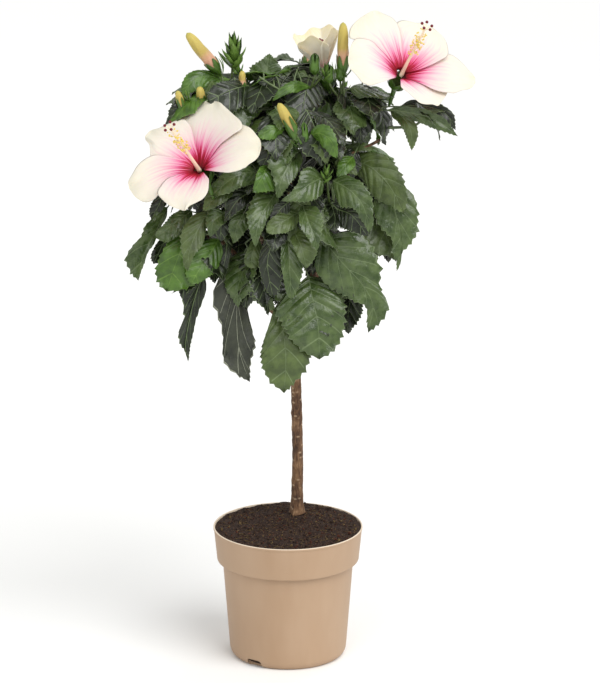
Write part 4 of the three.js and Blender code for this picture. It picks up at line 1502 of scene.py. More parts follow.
class Foliage:
    """The leaves, grown by a seeded branching rule or listed one by one, and the twigs that carry them."""

    def __init__(self, boughs: dict[str, Array]) -> None:
        """Takes the boughs' centre lines as the wood that shoots may start from.

        Args:
            boughs: centre lines by node name.
        """
        self.rng = np.random.default_rng(SEED)
        self.wood = np.concatenate(list(boughs.values()))
        self.leaves: dict[str, list[Leaf]] = {g.node: [] for g in GROWTHS}
        self.twig_paths: list[Array] = []
        self.twig_radii: list[Array] = []
        self.twig_is_green: list[bool] = []

    def add_twig(self, start: Array, end: Array, lift: Array, thick: float, thin: float) -> Array:
        """Records one twig, a bent taper of eight rings, and returns its centre line.

        Args:
            start: foot of the twig.
            end: its tip.
            lift: how its middle is bent.
            thick: radius at the foot.
            thin: radius at the tip.

        Returns:
            Its centre line.
        """
        path = bend_between(start, end, lift, 8)
        self.twig_paths.append(path)
        self.twig_radii.append(np.linspace(thick, thin, 8))
        self.twig_is_green.append(path[-1, 2] > GREEN_WOOD_HEIGHT or thick < 1.9 * MM)
        return path

    def outward(self, point: Array) -> Array:
        """Level direction from the crown's axis to a point."""
        away = point[:2] - CROWN_AXIS
        return unit(np.append(away, 0.0)) if np.linalg.norm(away) > 8 * MM else np.array([0.0, -1.0, 0.0])

    def grow(self, growth: Growth) -> None:
        """Grows one mass: a hub, shoots that spread from it, and leaves in golden-angle order on each.

        Leaves near a shoot's tip are young, small and raised; older ones further down are large, dark and
        hang with their faces turned outward. A leaf that would leave the mass's box is moved back in.

        Args:
            growth: the mass and its numbers.
        """
        low, high = (np.array(c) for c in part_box(growth.node))
        low[1] += growth.near * (high[1] - low[1])
        side = growth.inset * (high[0] - low[0])
        low[0], high[0] = low[0] + side, high[0] - side
        centre, half = (low + high) / 2, (high - low) / 2
        out = self.outward(centre)
        hub = centre - out * float(half @ np.abs(out)) * 0.5
        hub[2] = centre[2] - half[2] * 0.25
        if not growth.leaves:
            return
        gap = np.linalg.norm(self.wood - hub, axis=1) + 0.3 * np.maximum(0, self.wood[:, 2] - hub[2])
        start = self.wood[np.argmin(gap)]
        stem = self.add_twig(start, hub, UP * -4 * MM, 2.0 * MM, 1.5 * MM)
        self.wood = np.vstack([self.wood, stem])
        each = np.full(growth.shoots, growth.leaves // growth.shoots)
        each[: growth.leaves % growth.shoots] += 1
        spread = np.linspace(-75, 75, growth.shoots) if growth.shoots > 1 else np.array([0.0])
        for count, side in zip(each, spread):
            turn = np.radians(side + self.rng.uniform(-12, 12))
            level = np.array([
                out[0] * np.cos(turn) - out[1] * np.sin(turn),
                out[0] * np.sin(turn) + out[1] * np.cos(turn),
                0.0,
            ])
            rise = np.tan(np.radians(self.rng.uniform(15, 60)))
            heading = unit(level + UP * rise)
            room = np.min(np.where(np.abs(heading) > 1e-3, half / np.maximum(np.abs(heading), 1e-3), 9))
            end = hub + heading * room * self.rng.uniform(0.85, 1.15)
            end = np.clip(end, low + 0.1 * half, high - 0.1 * half)
            path = self.add_twig(hub, end, level * 5 * MM, 1.5 * MM, 0.9 * MM)
            self.wood = np.vstack([self.wood, path])
            self.leaf_out(growth, path, count, low, high, out)
        self.shade(growth, hub, centre, half, out)

    def shade(self, growth: Growth, hub: Array, centre: Array, half: Array, out: Array) -> None:
        """Adds the dark leaves that close the inside of a mass, hung round its hub in any direction; their
        near-black tint is partly painted shade.

        Args:
            growth: the mass and its numbers.
            hub: where its shoots start.
            centre: middle of its box.
            half: half sizes of its box.
            out: level direction from the axis.
        """
        for _ in range(growth.shaded):
            base = (hub + centre) / 2 + self.rng.uniform(-0.55, 0.55, 3) * half + UP * 10 * MM
            level = unit((self.rng.normal(0, 1, 3) + 0.4 * out) * np.array([1, 1, 0]) + 1e-6)
            droop = np.radians(self.rng.uniform(35, 75))
            heading = level * np.cos(droop) - UP * np.sin(droop)
            face = level * np.sin(droop) + UP * np.cos(droop) + self.rng.normal(0, 0.2, 3)
            length = self.rng.uniform(48, 66) * MM
            leaf = Leaf(base, base + heading * length, face, length * 0.7, Tint.DARK, 0.1, 0.1, 0.15)
            leaf.phase, leaf.node = self.rng.uniform(0, 6.28), hub
            self.leaves[growth.node].append(leaf)

    def leaf_out(self, growth: Growth, path: Array, count: int, low: Array, high: Array, out: Array) -> None:
        """Sets the leaves of one shoot.

        Args:
            growth: the mass and its numbers.
            path: the shoot.
            count: number of leaves.
            low: lower corner of the box.
            high: upper corner of the box.
            out: level direction from the axis.
        """
        ahead = unit(path[-1] - path[0])
        one = unit(np.cross(ahead, UP + 0.01))
        two = np.cross(ahead, one)
        first = self.rng.uniform(0, 2 * np.pi)
        for k in range(count):
            share = 0.12 + 0.88 * (k + 0.5) / count
            node = path[int(share * (len(path) - 1))]
            turn = first + k * GOLDEN_ANGLE
            around = np.cos(turn) * one + np.sin(turn) * two
            level = unit((around + 0.75 * out) * np.array([1, 1, 0]) + 1e-6)
            length = (growth.longest + (growth.shortest - growth.longest) * share**1.5) * MM
            length *= self.rng.uniform(0.88, 1.08)
            droop = np.radians(np.clip(78 - 62 * share + self.rng.normal(0, 11), 5, 88))
            heading = level * np.cos(droop) - UP * np.sin(droop)
            face = level * np.sin(droop) + UP * np.cos(droop) + self.rng.normal(0, 0.14, 3)
            stalk = self.rng.uniform(10, 24) * MM * (1.1 - 0.5 * share)
            base = node + unit(level + UP * 0.5) * stalk
            tip = base + heading * length
            shift = np.clip(tip, low, high) - tip
            shift = np.where(np.abs(shift) > 0, shift * 0.9, 0)
            base, tip = base + shift, tip + shift
            base = np.clip(base, low - 6 * MM, high + 4 * MM)
            young = self.rng.uniform() < growth.young + 0.25 * (share > 0.8)
            tint = Tint.BRIGHT if young else Tint(int(self.rng.choice(3, p=[0.42, 0.4, 0.18])))
            self.leaves[growth.node].append(
                Leaf(
                    base,
                    tip,
                    face,
                    np.linalg.norm(tip - base) * self.rng.uniform(0.58, 0.76),
                    tint,
                    self.rng.uniform(0.06, 0.16),
                    self.rng.uniform(-0.12, 0.22),
                    self.rng.uniform(0.05, 0.22),
                    self.rng.uniform(0.02, 0.05),
                    self.rng.normal(0, 0.25),
                    self.rng.normal(0, 0.04),
                    self.rng.normal(0, 0.15),
                    self.rng.uniform(0.68, 0.85),
                    self.rng.uniform(0, 6.28),
                    node,
                )
            )

    def place(self) -> None:
        """Adds the listed leaves, each stalked from the nearest wood behind it."""
        for number, row in enumerate(PLACED):
            leaf = row.leaf(number)
            heading = unit(leaf.tip - leaf.base)
            target = leaf.base - heading * 14 * MM + UP * 4 * MM
            leaf.node = self.wood[np.argmin(np.linalg.norm(self.wood - target, axis=1))]
            self.leaves[row.mass].append(leaf)

    def build(self, finishes: Sequence[Material], bark: Material) -> None:
        """Makes one piece of leaves for each mass, and the twigs and stalks.

        Args:
            finishes: leaf materials in order of tint.
            bark: finish of the brown twigs.
        """
        for growth in GROWTHS:
            self.grow(growth)
        self.place()
        stalks, girths = [], []
        for node, leaves in self.leaves.items():
            pattern = FANNED if node == "hanging_front_left" else MATURE
            made = blades(leaves, pattern).piece("leaves_" + node, finishes, Slot.FOLIAGE)
            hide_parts(node)
            for leaf in leaves:
                inward = leaf.base + unit(leaf.tip - leaf.base) * 1.5 * MM
                lift = -unit(leaf.tip - leaf.base) * np.linalg.norm(inward - leaf.node) * 0.25 + UP * 2 * MM
                stalks.append(bend_between(leaf.node, inward, lift, 8))
                girths.append(np.linspace(1.0, 0.75, 8) * MM)
        for start, end, thick, thin in BARE_TWIGS:
            self.add_twig(np.array(start) * MM, np.array(end) * MM, -UP * 2 * MM, thick * MM, thin * MM)
            self.twig_is_green[-1] = False
        green = np.array(self.twig_is_green)
        paths, radii = np.array(self.twig_paths), np.array(self.twig_radii)
        brown = tubes(paths[~green], radii[~green], 8, 0)
        fresh = tubes(paths[green], radii[green], 8, 1)
        petioles = tubes(np.array(stalks), np.array(girths), 6, 1)
        Surface.join([brown, fresh, petioles]).piece("twigs_and_stalks", [bark, finishes[VEIN]], Slot.BARK)


# ---- blooms


@dataclass(frozen=True)
class Petal:
    """Outline of one petal as it looks from the front, from the throat. Lengths in mm, right and up."""

    spine: tuple[Pair, ...]
    left: tuple[float, ...]
    right: tuple[float, ...]


@dataclass(frozen=True)
class BloomPlace:
    """Where one bloom sits and faces. Lengths in mm, angles in degrees."""

    node: str
    throat: Triple
    facing: float
    raised: float
    roll: float
    reach: float
    rise: float
    column: float
    seed: int
    petals: tuple[Petal, ...] = ()  # none if it is half open


BLOOMS = (
    BloomPlace("bloom_left", (-97, -80, 588), 234, 48, 88, 78, 21, 70, 1, (
        Petal(
            ((1, -1), (5, 31), (13, 58), (15, 76)), (12, 17, 22, 27, 28, 24, 20), (7, 13, 19, 26, 34, 21, 13)
        ),
        Petal(
            ((-2, 1), (-20, 15), (-38, 27), (-59, 38)), (5, 10, 12, 15, 18, 18, 7),
            (10, 16, 23, 29, 31, 23, 13)
        ),
        Petal(
            ((-4, -2), (-28, -2), (-52, -10), (-75, -22)), (4, 7, 9, 13, 18, 22, 22),
            (7, 9, 13, 18, 19, 17, 12)
        ),
        Petal(
            ((2, -3), (-3, -18), (-10, -33), (-14, -48)), (9, 11, 13, 13, 12, 9, 4),
            (10, 18, 22, 26, 29, 31, 23)
        ),
        Petal(
            ((5, 1), (26, 15), (49, 22), (69, 20)), (6, 11, 15, 19, 23, 20, 13), (11, 18, 20, 21, 21, 21, 17)
        ),
    )),
    BloomPlace("bloom_right", (126, -10, 679), 304, 53, 113, 77, 23, 70, 2, (
        Petal(
            ((-4, 4), (-13, 28), (-23, 50), (-34, 70)), (5, 8, 12, 16, 26, 34, 31), (6, 8, 11, 14, 16, 15, 10)
        ),
        Petal(
            ((-6, -3), (-24, 6), (-41, 12), (-60, 14)), (10, 17, 22, 23, 23, 21, 16),
            (6, 9, 12, 15, 20, 22, 22)
        ),
        Petal(
            ((-0, -5), (13, -16), (27, -28), (39, -38)), (7, 11, 15, 18, 21, 23, 25), (8, 8, 8, 9, 10, 8, 4)
        ),
        Petal(((2, -2), (28, 1), (56, -1), (81, -9)), (6, 9, 14, 19, 19, 14, 9), (6, 11, 16, 19, 20, 20, 14)),
        Petal(
            ((-0, 2), (10, 23), (21, 41), (32, 56)), (7, 13, 19, 24, 28, 25, 13), (12, 19, 24, 28, 32, 31, 27)
        ),
    )),
    BloomPlace("bloom_back", (40, 32, 676), 196, 76, 40, 25, 42, 26, 3),
)


@dataclass
class Bloom:
    """One hibiscus flower: five overlapping petals, stamen column with stigma pads, calyx and bracts."""

    place: BloomPlace
    rows: int = 40
    columns: int = 33
    thickness: float = 0.45
    anthers: int = 78
    tube_rings: int = 24
    tube_sides: int = 12
    calyx_sides: int = 60
    calyx_rings: int = 14
    calyx_depth: float = 25.0  # how far the calyx stands behind the throat
    bract_count: int = 7

    def axes(self) -> tuple[Array, Array, Array]:
        """Level, steep and forward axes of the bloom, turned so that level points along its first petal.

        Returns:
            The three axes.
        """
        forward = direction(self.place.facing, self.place.raised)
        level = unit(np.cross(UP, forward))
        steep = np.cross(forward, level)
        roll = np.radians(self.place.roll)
        cos, sin = np.cos(roll), np.sin(roll)
        return level * cos + steep * sin, steep * cos - level * sin, forward

    def funnel(self, share: Array) -> Array:
        """Height of the open bloom in mm over its throat, at a share of its reach."""
        depth = 9 * (1 - share) ** 2.4
        return self.place.rise * (1 - (1 - share) ** 1.7) - depth - 7 * share**5

    def opened(self, petal: Petal, s: Array, t: Array, phase: Array) -> tuple[Array, Array]:
        """One open petal: its outline laid on the funnel along the line of sight, then frilled.

        Args:
            petal: the outline.
            s: shares from the claw to the tip, (rows, columns).
            t: shares across, -1 to 1.
            phase: four random phases of the frills.

        Returns:
            Points from the throat in metres, and their shares of the bloom's reach.
        """
        forward = self.axes()[2]
        sight = direction(FRONT_AZIMUTH, FRONT_ELEVATION)
        right = unit(np.cross(UP, sight))
        steps = np.linspace(0, 1, 65)
        line = spline(np.array(petal.spine, float), 65)
        halves = 1.07 * np.array([(4.0, *edge, 0.85 * edge[-1]) for edge in (petal.left, petal.right)])
        edges = np.maximum(spline(halves.T, 65).T, 0) * np.sqrt(1 - np.clip((steps - 0.8) / 0.2, 0, 1) ** 3)
        edges += 3.2 * smooth_step(steps, 0, 0.15) * (1 - smooth_step(steps, 0.4, 0.9))
        middle = np.stack([np.interp(s, steps, line[:, c]) for c in range(2)], -1)
        ahead = unit(np.stack([np.interp(s, steps, np.gradient(line[:, c])) for c in range(2)], -1))
        half = np.where(t < 0, np.interp(s, steps, edges[0]), np.interp(s, steps, edges[1]))
        flat = middle + np.stack([ahead[..., 1], -ahead[..., 0]], -1) * (t * half)[..., None]
        seen = flat[..., :1] * right + flat[..., 1:] * np.cross(sight, right)
        away = np.zeros(s.shape)
        for _ in range(12):
            place = seen + away[..., None] * sight
            height = place @ forward
            radius = np.linalg.norm(place - height[..., None] * forward, axis=-1)
            share = np.clip(radius / self.place.reach, 0, 1) ** (1 / 1.2)
            away += 0.8 * (self.funnel(share) - height) / (sight @ forward)
        w = t * np.sqrt(np.clip(1 - s**6, 0, 1))
        frill = 2.2 * s**2 * np.abs(w) ** 1.5 * np.sin(8.5 * s + 3.0 * w + phase[2])
        frill += 1.6 * smooth_step(s, 0.7, 1) * np.sin(8 * w + phase[3])
        frill += 3.5 * s**2 * np.sin(2.2 * w + phase[0]) + 0.13 * w * half
        frill += 0.5 * s * np.cos(t * 9 * np.pi) * (1 - s)
        return (seen + (away + frill)[..., None] * sight) * MM, share

    def furled(self, turn: float, s: Array, t: Array, phase: Array) -> tuple[Array, Array]:
        """One petal of a half-open bloom, rolled round its axis into a trumpet. Terms as for opened.

        Args:
            turn: direction of the petal round the axis.
            s: shares from the claw to the tip.
            t: shares across, -1 to 1.
            phase: random phases of the frills.

        Returns:
            Points and their shares of the reach.
        """
        p = self.place
        level, steep, forward = self.axes()
        side = s**0.9 * np.sqrt(np.clip(1 - s**5, 0, 1)) / 0.68 * 20 * t
        w = t * np.sqrt(np.clip(1 - s**6, 0, 1))
        far = 2.4 + (p.reach - 2.4) * s**1.5
        height = p.rise * s - 6 * (1 - s) + 3 * s**2 * np.sin(
            3 * w + phase[0]
        ) + 2 * s**3 * np.sin(7 * w + phase[1])
        roll = 0.45 * side / (far + 4)
        radial, aside = far * np.cos(roll), side * 0.5 + far * np.sin(roll) * 1.1
        along = around(level, steep, turn)
        cross = np.cos(turn) * steep - np.sin(turn) * level
        return np.stack([radial, aside, height], -1) * MM @ np.stack([along, cross, forward]), s

    def petals(self) -> Surface:
        """Five petals on a grid of s from the claw to the tip and t from side to side.

        Returns:
            The joined petals.
        """
        p = self.place
        rng = np.random.default_rng(100 + p.seed)
        s, t = np.meshgrid(
            np.sin(np.linspace(0, np.pi / 2, self.rows)), np.linspace(-1, 1, self.columns), indexing="ij"
        )
        away = direction(FRONT_AZIMUTH, FRONT_ELEVATION) if p.petals else self.axes()[2]
        parts = []
        for k in range(5):
            phase = rng.uniform(0, 6.28, 4)
            if p.petals:
                top, share = self.opened(p.petals[k], s, t, phase)
            else:
                top, share = self.furled(k * 2 * np.pi / 5, s, t, phase)
            points, faces, _ = shell(top + np.array(p.throat) * MM, -away * self.thickness * MM)
            collapse = np.arange(len(points))
            last = (self.rows - 1) * self.columns
            collapse[last : last + self.columns] = last
            tone = np.concatenate([share.ravel(), share.ravel()])
            across = np.concatenate([t.ravel(), t.ravel()]) + 3.1 * k + 17 * p.seed
            parts.append(
                Surface(points, collapse[faces], np.zeros(len(faces)), {"reach": tone, "across": across})
            )
        return Surface.join(parts)

    def column(self) -> Surface:
        """Stamen column: a tapering tube, filaments with anthers on its upper half, and five stigma pads.

        Returns:
            The joined column.
        """
        p = self.place
        rng = np.random.default_rng(200 + p.seed)
        level, steep, forward = self.axes()
        throat = np.array(p.throat) * MM - forward * 4 * MM
        tip = np.array(p.throat) * MM + forward * p.column * MM
        path = bend_between(throat, tip, -UP * 2 * MM + level * 2 * MM, self.tube_rings)
        steps = np.linspace(0, 1, self.tube_rings)
        girth = np.interp(steps, [0, 0.15, 0.6, 1], [2.6, 2.0, 1.5, 0.9]) * MM
        parts = [tubes(path[None], girth[None], self.tube_sides, 0)]
        parts[0].values["reach"] = np.append(np.repeat(steps, self.tube_sides), [0.0, 1.0])
        count = self.anthers
        share = rng.uniform(0.46, 0.93, count)
        turn = np.arange(count) * GOLDEN_ANGLE
        foot = np.stack([np.interp(share, steps, path[:, c]) for c in range(3)], -1)
        out = around(level, steep, turn[:, None])
        length = rng.uniform(3.4, 7.0, count)[:, None] * MM * (p.column / 72) ** 0.5
        end = foot + unit(out + forward * rng.uniform(0.1, 0.7, (count, 1))) * length
        parts.append(
            tubes(bend_between(foot, end, forward * 1.0 * MM, 4), np.full((count, 4), 0.2 * MM), 4, 1)
        )
        parts.append(blobs(end, rng.uniform(0.75, 1.1, (count, 3)) * MM, slot=2))
        turn = np.radians(72 * np.arange(5) + 20)
        out = around(level, steep, turn[:, None])
        pads = tip + unit(out + forward * 0.9) * 8.0 * MM
        parts.append(tubes(bend_between(np.tile(tip - forward * MM, (5, 1)), pads, forward * 1.5 * MM, 6),
                           np.full((5, 6), 0.45 * MM), 6, 1))
        parts.append(blobs(pads, np.full((5, 3), 1.7 * MM), 6, 10, slot=3))
        return Surface.join(parts)

    def cup(self) -> Surface:
        """Calyx behind the petals: a cup whose rim rises in five pointed lobes, with its stalk.

        Returns:
            The calyx and its stalk.
        """
        p = self.place
        level, steep, forward = self.axes()
        turn = circle(self.calyx_sides)
        share = np.linspace(0, 1, self.calyx_rings)[:, None]
        lobes = np.abs(np.cos(2.5 * turn)) ** 0.8
        height = -26 + share * (13 + 7 * lobes)
        girth = 3.0 + 6.6 * np.sin(np.pi / 2 * np.clip(share * 1.5, 0, 1)) + 1.6 * share**4 * (1 + lobes)
        grid = stacked(girth * np.cos(turn), girth * np.sin(turn), height) * MM
        basis = np.stack([level, steep, forward])
        inner = grid.copy()
        inner[..., :2] *= 0.93
        points, faces, _ = shell(grid @ basis, (inner - grid) @ basis, wrap=True)
        bottom = np.arange(self.calyx_sides)
        fill = np.stack([bottom, np.roll(bottom, -1)], -1)
        rings = self.calyx_rings * self.calyx_sides
        closing = np.stack([fill[:, 0], fill[:, 1], fill[:, 1] + rings, fill[:, 0] + rings], -1)
        faces = np.vstack([faces[:, ::-1], closing])
        made = Surface(points + np.array(p.throat) * MM, faces, np.zeros(len(faces)))
        back = np.array(p.throat) * MM - forward * self.calyx_depth * MM
        stalk_end = back - forward * 16 * MM - UP * 8 * MM
        stalk = tubes(
            bend_between(back, stalk_end, -UP * 2 * MM, 8)[None], np.linspace(2.9, 1.6, 8)[None] * MM, 10, 0
        )
        return Surface.join([made, stalk])

    def bracts(self) -> list[Leaf]:
        """The ring of narrow bracts under the calyx.

        Returns:
            The bracts.
        """
        level, steep, forward = self.axes()
        made = []
        for k in range(self.bract_count):
            turn = k * 2 * np.pi / self.bract_count
            out = around(level, steep, turn)
            base = np.array(self.place.throat) * MM - forward * self.calyx_depth * MM + out * 2.6 * MM
            tip = base + unit(out * 0.75 + forward) * 17 * MM
            made.append(Leaf(base, tip, unit(out - 0.4 * forward), 3.4 * MM, Tint.BRIGHT, 0.12))
        return made

    def build(self, petal: Material, column: Sequence[Material],
              leaf: Sequence[Material]) -> None:
        """Makes the petals, the column and the calyx as three pieces.

        Args:
            petal: finish of the petals.
            column: finishes of the column.
            leaf: leaf materials in order of tint.
        """
        node = self.place.node
        petals = self.petals().piece(node + "_petals", [petal], Slot.PETALS)
        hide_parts(node)
        self.column().piece(node + "_column", column, Slot.PETALS)
        self.cup().piece(node + "_calyx", [leaf[Tint.BRIGHT.value]], Slot.SHOOTS)
        blades(self.bracts(), BRACT).piece(node + "_bracts", leaf, Slot.SHOOTS)


# ---- buds


@dataclass(frozen=True)
class Bud:
    """One bud: foot and tip in mm, its greatest radius, and how far the petals show out of the calyx."""

    foot: Triple
    tip: Triple
    radius: float
    shown: float = 0.6
    node: str = ""


BUDS = (
    Bud((-73, 8, 673), (-111, 10, 720), 7.2, 0.66, "shoot_left_bud"),
    Bud((61, 0, 672), (61, 0, 734), 6.6, 0.6, "shoot_top_bud"),
    Bud((17, -54, 606), (-10, -54, 655), 6.6, 0.34),
    Bud((30, -4, 676), (30, -2, 699), 5.2, 0.0),
    Bud((46, -2, 666), (46, 0, 686), 4.4, 0.0),
    Bud((20, -58, 612), (18, -60, 634), 3.6, 0.0),
    Bud((-92, -12, 638), (-97, -14, 665), 5.4, 0.38),
    Bud((-112, -20, 630), (-121, -22, 662), 4.8, 0.25),
    Bud((-50, 2, 658), (-50, 4, 679), 4.2, 0.6),
    Bud((58, -2, 668), (59, 0, 690), 4.2, 0.0),
    Bud((20, 92, 662), (26, 104, 690), 6.0, 0.55),
    Bud((-62, 96, 610), (-78, 112, 634), 5.2, 0.45),
    Bud((96, 84, 600), (108, 96, 622), 5.0, 0.0),
)

# Leafy shoot tips: foot and tip in mm, and number of small leaves
SHOOT_TIPS = (
    ((-58, 20, 668), (-60, 20, 718), 16),
    ((40, -52, 560), (44, -58, 588), 10),
    ((40, -2, 664), (44, -6, 690), 8),
    ((-54, 96, 640), (-58, 104, 672), 9),
    ((60, 90, 622), (66, 98, 650), 9),
    ((-108, -14, 640), (-112, -18, 662), 7),
)


class Buds:
    """Buds and small shoot tips that stand out of the crown, with their stems; the bare twigs are made with
    the foliage.
    """

    def bud(self, row: Bud) -> tuple[Surface, Surface, list[Leaf]]:
        """Rolled petals, calyx and bracts of one bud.

        Petals: a spindle whose radius is sin(pi s^0.8)^0.75, ridged by five folds that wind round it.
        Calyx: the same spindle, slightly larger, up to a rim of five pointed lobes.

        Args:
            row: the bud.

        Returns:
            Petals, calyx and bracts.
        """
        foot, tip = np.array(row.foot) * MM, np.array(row.tip) * MM
        length = float(np.linalg.norm(tip - foot))
        forward = unit(tip - foot)
        level = unit(np.cross(forward, np.array([0.3, 1.0, 0.1])))
        steep = np.cross(forward, level)
        basis = np.stack([level, steep, forward])
        turn = circle(40)
        share = np.linspace(0.0, 1, 30)[:, None]

        def spindle(s: Array) -> Array:
            """Radius of the bud at a share of its length."""
            s = np.clip(s, 0, 1)
            return np.sin(np.pi / 2 * np.clip(s * 3.2, 0, 1)) * (1 - 0.2 * s) * np.sqrt(1 - s**9) + 0.02

        folds = 1 + 0.07 * np.cos(5 * (turn - 2.6 * share)) * np.sin(np.pi * share)
        girth = row.radius * MM * spindle(share) * folds
        grid = stacked(girth * np.cos(turn), girth * np.sin(turn), length * share)
        rings = np.concatenate([grid[:1] * [0, 0, 1], grid, grid[-1:] * [0, 0, 1]])
        index = np.arange(32 * 40).reshape(32, 40)
        index[0], index[-1] = 0, index[-1, 0]
        faces = grid_faces(index, True)[:, ::-1]
        tone = np.clip(np.linspace(-0.03, 1.03, 32), 0, 1)
        petals = Surface(
            rings.reshape(-1, 3) @ basis + foot, faces, np.zeros(len(faces)), {"reach": np.repeat(tone, 40)}
        )
        cover = 1 - row.shown if row.shown else 1.0
        lobes = np.abs(np.cos(2.5 * turn)) ** 1.3
        rise = np.linspace(0, 1, 16)[:, None] * (cover * (0.55 + 0.5 * lobes))
        girth = row.radius * MM * (spindle(rise) * 1.05 + 0.09)
        girth = girth * (1 + 0.06 * np.cos(5 * turn))
        cup = stacked(girth * np.cos(turn), girth * np.sin(turn), length * rise)
        inner = cup.copy()
        inner[..., :2] *= 0.9
        points, faces, _ = shell(cup @ basis, (inner - cup) @ basis, wrap=True)
        bottom = np.arange(40)
        nxt = np.roll(bottom, -1)
        closing = np.stack([bottom, nxt, nxt + 16 * 40, bottom + 16 * 40], -1)
        faces = np.vstack([faces[:, ::-1], closing])
        calyx = Surface(points + foot, faces, np.zeros(len(faces)), {"reach": np.zeros(len(points))})
        bracts = []
        for k in range(7):
            angle = k * 2 * np.pi / 7 + 0.2
            out = around(level, steep, angle)
            base = foot + out * row.radius * 0.3 * MM
            end = base + unit(out * 0.55 + forward) * length * 0.34
            bracts.append(Leaf(base, end, unit(out - 0.3 * forward), 2.6 * MM, Tint.BRIGHT, 0.14))
        return petals, calyx, bracts

    def shoot_tip(self, foot: Array, tip: Array, count: int, rng: np.random.Generator) -> list[Leaf]:
        """Small folded leaves in golden-angle order up a shoot, shorter and more upright towards its tip.

        Args:
            foot: foot of the shoot.
            tip: its tip.
            count: number of leaves.
            rng: the random source.

        Returns:
            The leaves.
        """
        forward = unit(tip - foot)
        level = unit(np.cross(forward, np.array([0.3, 1.0, 0.1])))
        steep = np.cross(forward, level)
        length = float(np.linalg.norm(tip - foot))
        made = []
        for k in range(count):
            share = k / max(count - 1, 1)
            turn = k * GOLDEN_ANGLE
            out = around(level, steep, turn)
            base = foot + forward * length * (0.15 + 0.5 * share)
            open_out = 0.85 - 0.7 * share
            reach = length * (0.62 - 0.22 * share) * rng.uniform(0.9, 1.1)
            end = base + unit(forward + out * open_out) * reach
            width = reach * (0.42 - 0.08 * share)
            made.append(Leaf(base, end, unit(forward * 0.6 - out), width, Tint.BRIGHT, -0.08, 0.4, 0.0, 0.02))
        return made

    def build(
        self, crown: Foliage, bud_finish: Material, leaf: Sequence[Material]
    ) -> None:
        """Makes the buds, each kind joined, and the shoot tips.

        Args:
            crown: the leaves and their wood.
            bud_finish: finish of the petals.
            leaf: leaf materials in order of tint.
        """
        rng = np.random.default_rng(SEED + 5)
        petals, cups, bracts, stems = [], [], [], []
        for row in BUDS:
            petal, calyx, bract = self.bud(row)
            if row.shown:
                petals.append(petal)
            cups.append(calyx)
            bracts += bract
            foot = np.array(row.foot) * MM
            start = crown.wood[np.argmin(np.linalg.norm(crown.wood - (foot - UP * 15 * MM), axis=1))]
            ahead = unit(np.array(row.tip) * MM - foot)
            stems.append(bend_between(start, foot, -ahead * 10 * MM, 8))
        bud_petals = Surface.join(petals).piece("bud_petals", [bud_finish], Slot.PETALS)
        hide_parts("shoot_left_bud", "shoot_top_bud")
        Surface.join(cups).piece("bud_calyces", [leaf[Tint.BRIGHT.value]], Slot.SHOOTS)
        tips = []
        for foot, tip, count in SHOOT_TIPS:
            foot, tip = np.array(foot) * MM, np.array(tip) * MM
            tips += self.shoot_tip(foot, tip, count, rng)
            start = crown.wood[np.argmin(np.linalg.norm(crown.wood - (foot - UP * 15 * MM), axis=1))]
            stems.append(bend_between(start, foot + (tip - foot) * 0.7, -UP * 6 * MM, 8))
        made = blades(bracts + tips, BRACT).piece("bracts_and_shoot_tips", leaf, Slot.SHOOTS)
        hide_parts("shoot_left_tip")
        girth = np.tile(np.linspace(1.5, 1.1, 8), (len(stems), 1)) * MM
        Surface.join([tubes(np.array(stems), girth, 8)]).piece(
            "bud_stems", [leaf[Tint.OLIVE.value]], Slot.SHOOTS
        )


# ---- studio


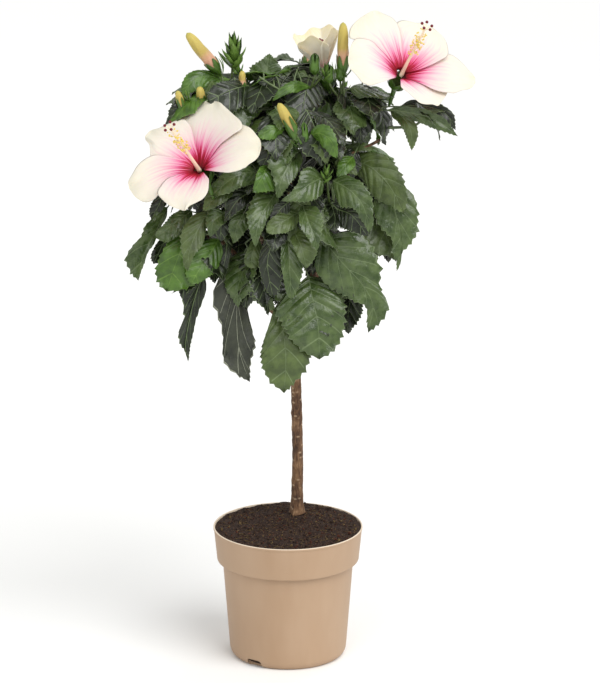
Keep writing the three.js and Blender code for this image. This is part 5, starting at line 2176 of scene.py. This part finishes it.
@dataclass
class Studio:
    """Plain pale floor, soft lights and the camera."""

    camera_place: Triple = (0.0137, -4.0, 1.507)
    pitch_down: float = 15.87
    lens: float = 195.07
    surround: float = 0.62
    key_strength: float = 2.15
    key_spread: float = 44.0
    key_from: Pair = (-48.0, 52.0)
    aim_height: float = 0.42
    lamps: tuple = (("sheen", (-1.0, -2.4, 2.4), 1.5, 18.0), ("rim", (1.2, 1.8, 1.9), 1.2, 10.0))
    floor_radius: float = 30.0

    def build(self) -> None:
        """Makes the floor, the world, the lights and the camera."""
        scene = bpy.context.scene
        scene.view_settings.view_transform = "Standard"
        radius = self.floor_radius
        turn = circle(64)
        mesh = bpy.data.meshes.new("floor")
        ring = np.stack([radius * np.cos(turn), radius * np.sin(turn), np.zeros(64)], -1)
        mesh.from_pydata(ring.tolist(), [], [list(range(64))])
        mesh.materials.append(PlainFinish("floor_pale_matte", "#f2f2f0", 0.95).build())
        floor = bpy.data.objects.new("floor", mesh)
        scene.collection.objects.link(floor)
        world = bpy.data.worlds.new("soft_white")
        world.use_nodes = True
        world.node_tree.nodes["Background"].inputs["Color"].default_value = (1, 1, 1, 1)
        world.node_tree.nodes["Background"].inputs["Strength"].default_value = self.surround
        scene.world = world
        sun = bpy.data.lights.new("key", "SUN")
        sun.energy, sun.angle = self.key_strength, np.radians(self.key_spread)
        self.aim(sun, direction(*self.key_from) * 5)
        for name, place, size, power in self.lamps:
            lamp = bpy.data.lights.new(name, "AREA")
            lamp.size, lamp.energy = size, power
            self.aim(lamp, place)
        camera = bpy.data.cameras.new("camera")
        camera.lens = self.lens
        camera.sensor_width = 36.0
        camera.clip_end = 200.0
        seen = bpy.data.objects.new("camera", camera)
        seen.location = self.camera_place
        seen.rotation_euler = (np.radians(90 - self.pitch_down), 0, 0)
        scene.collection.objects.link(seen)
        scene.camera = seen

    def aim(self, lamp: bpy.types.Light, place: Sequence[float]) -> None:
        """Hangs a lamp at a place, aimed at the plant's middle.

        Args:
            lamp: the lamp.
            place: where it hangs.
        """
        made = bpy.data.objects.new(lamp.name, lamp)
        made.location = place
        made.rotation_euler = (
            Vector((0, 0, self.aim_height)) - Vector(place)
        ).to_track_quat("-Z", "Y").to_euler()
        bpy.context.scene.collection.objects.link(made)


# ---- assembly


def main() -> None:
    """Builds the studio, then the plant from the pot up."""
    logging.basicConfig(level=logging.INFO, format="%(name)s: %(message)s")
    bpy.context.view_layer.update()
    Studio().build()
    leaf = [finish.build() for finish in LEAF_FINISHES]
    bark = BarkFinish().build()
    Pot().build()
    Compost().build()
    boughs = Limbs().build(bark)
    crown = Foliage(boughs)
    crown.build(leaf, bark)
    petal = PetalFinish("petal_ivory_red_throat", PETAL_STOPS).build()
    column = [
        PlainFinish("column_cream", "#f3dcc0", 0.5).build(),
        PlainFinish("filament_pale", "#f6e7c4", 0.5).build(),
        PlainFinish("pollen_yellow", "#e9cf62", 0.85).build(),
        PlainFinish("stigma_velvet_red", "#6d1220", 0.7).build(),
    ]
    pale = PetalFinish("petal_back_ivory_blush", BACK_PETAL_STOPS).build()
    for place in BLOOMS:
        Bloom(place).build(petal if place.petals else pale, column, leaf)
    Buds().build(crown, PetalFinish("bud_petal_rolled_amber", BUD_STOPS, 0.08).build(), leaf)


if __name__ == "__main__":
    main()
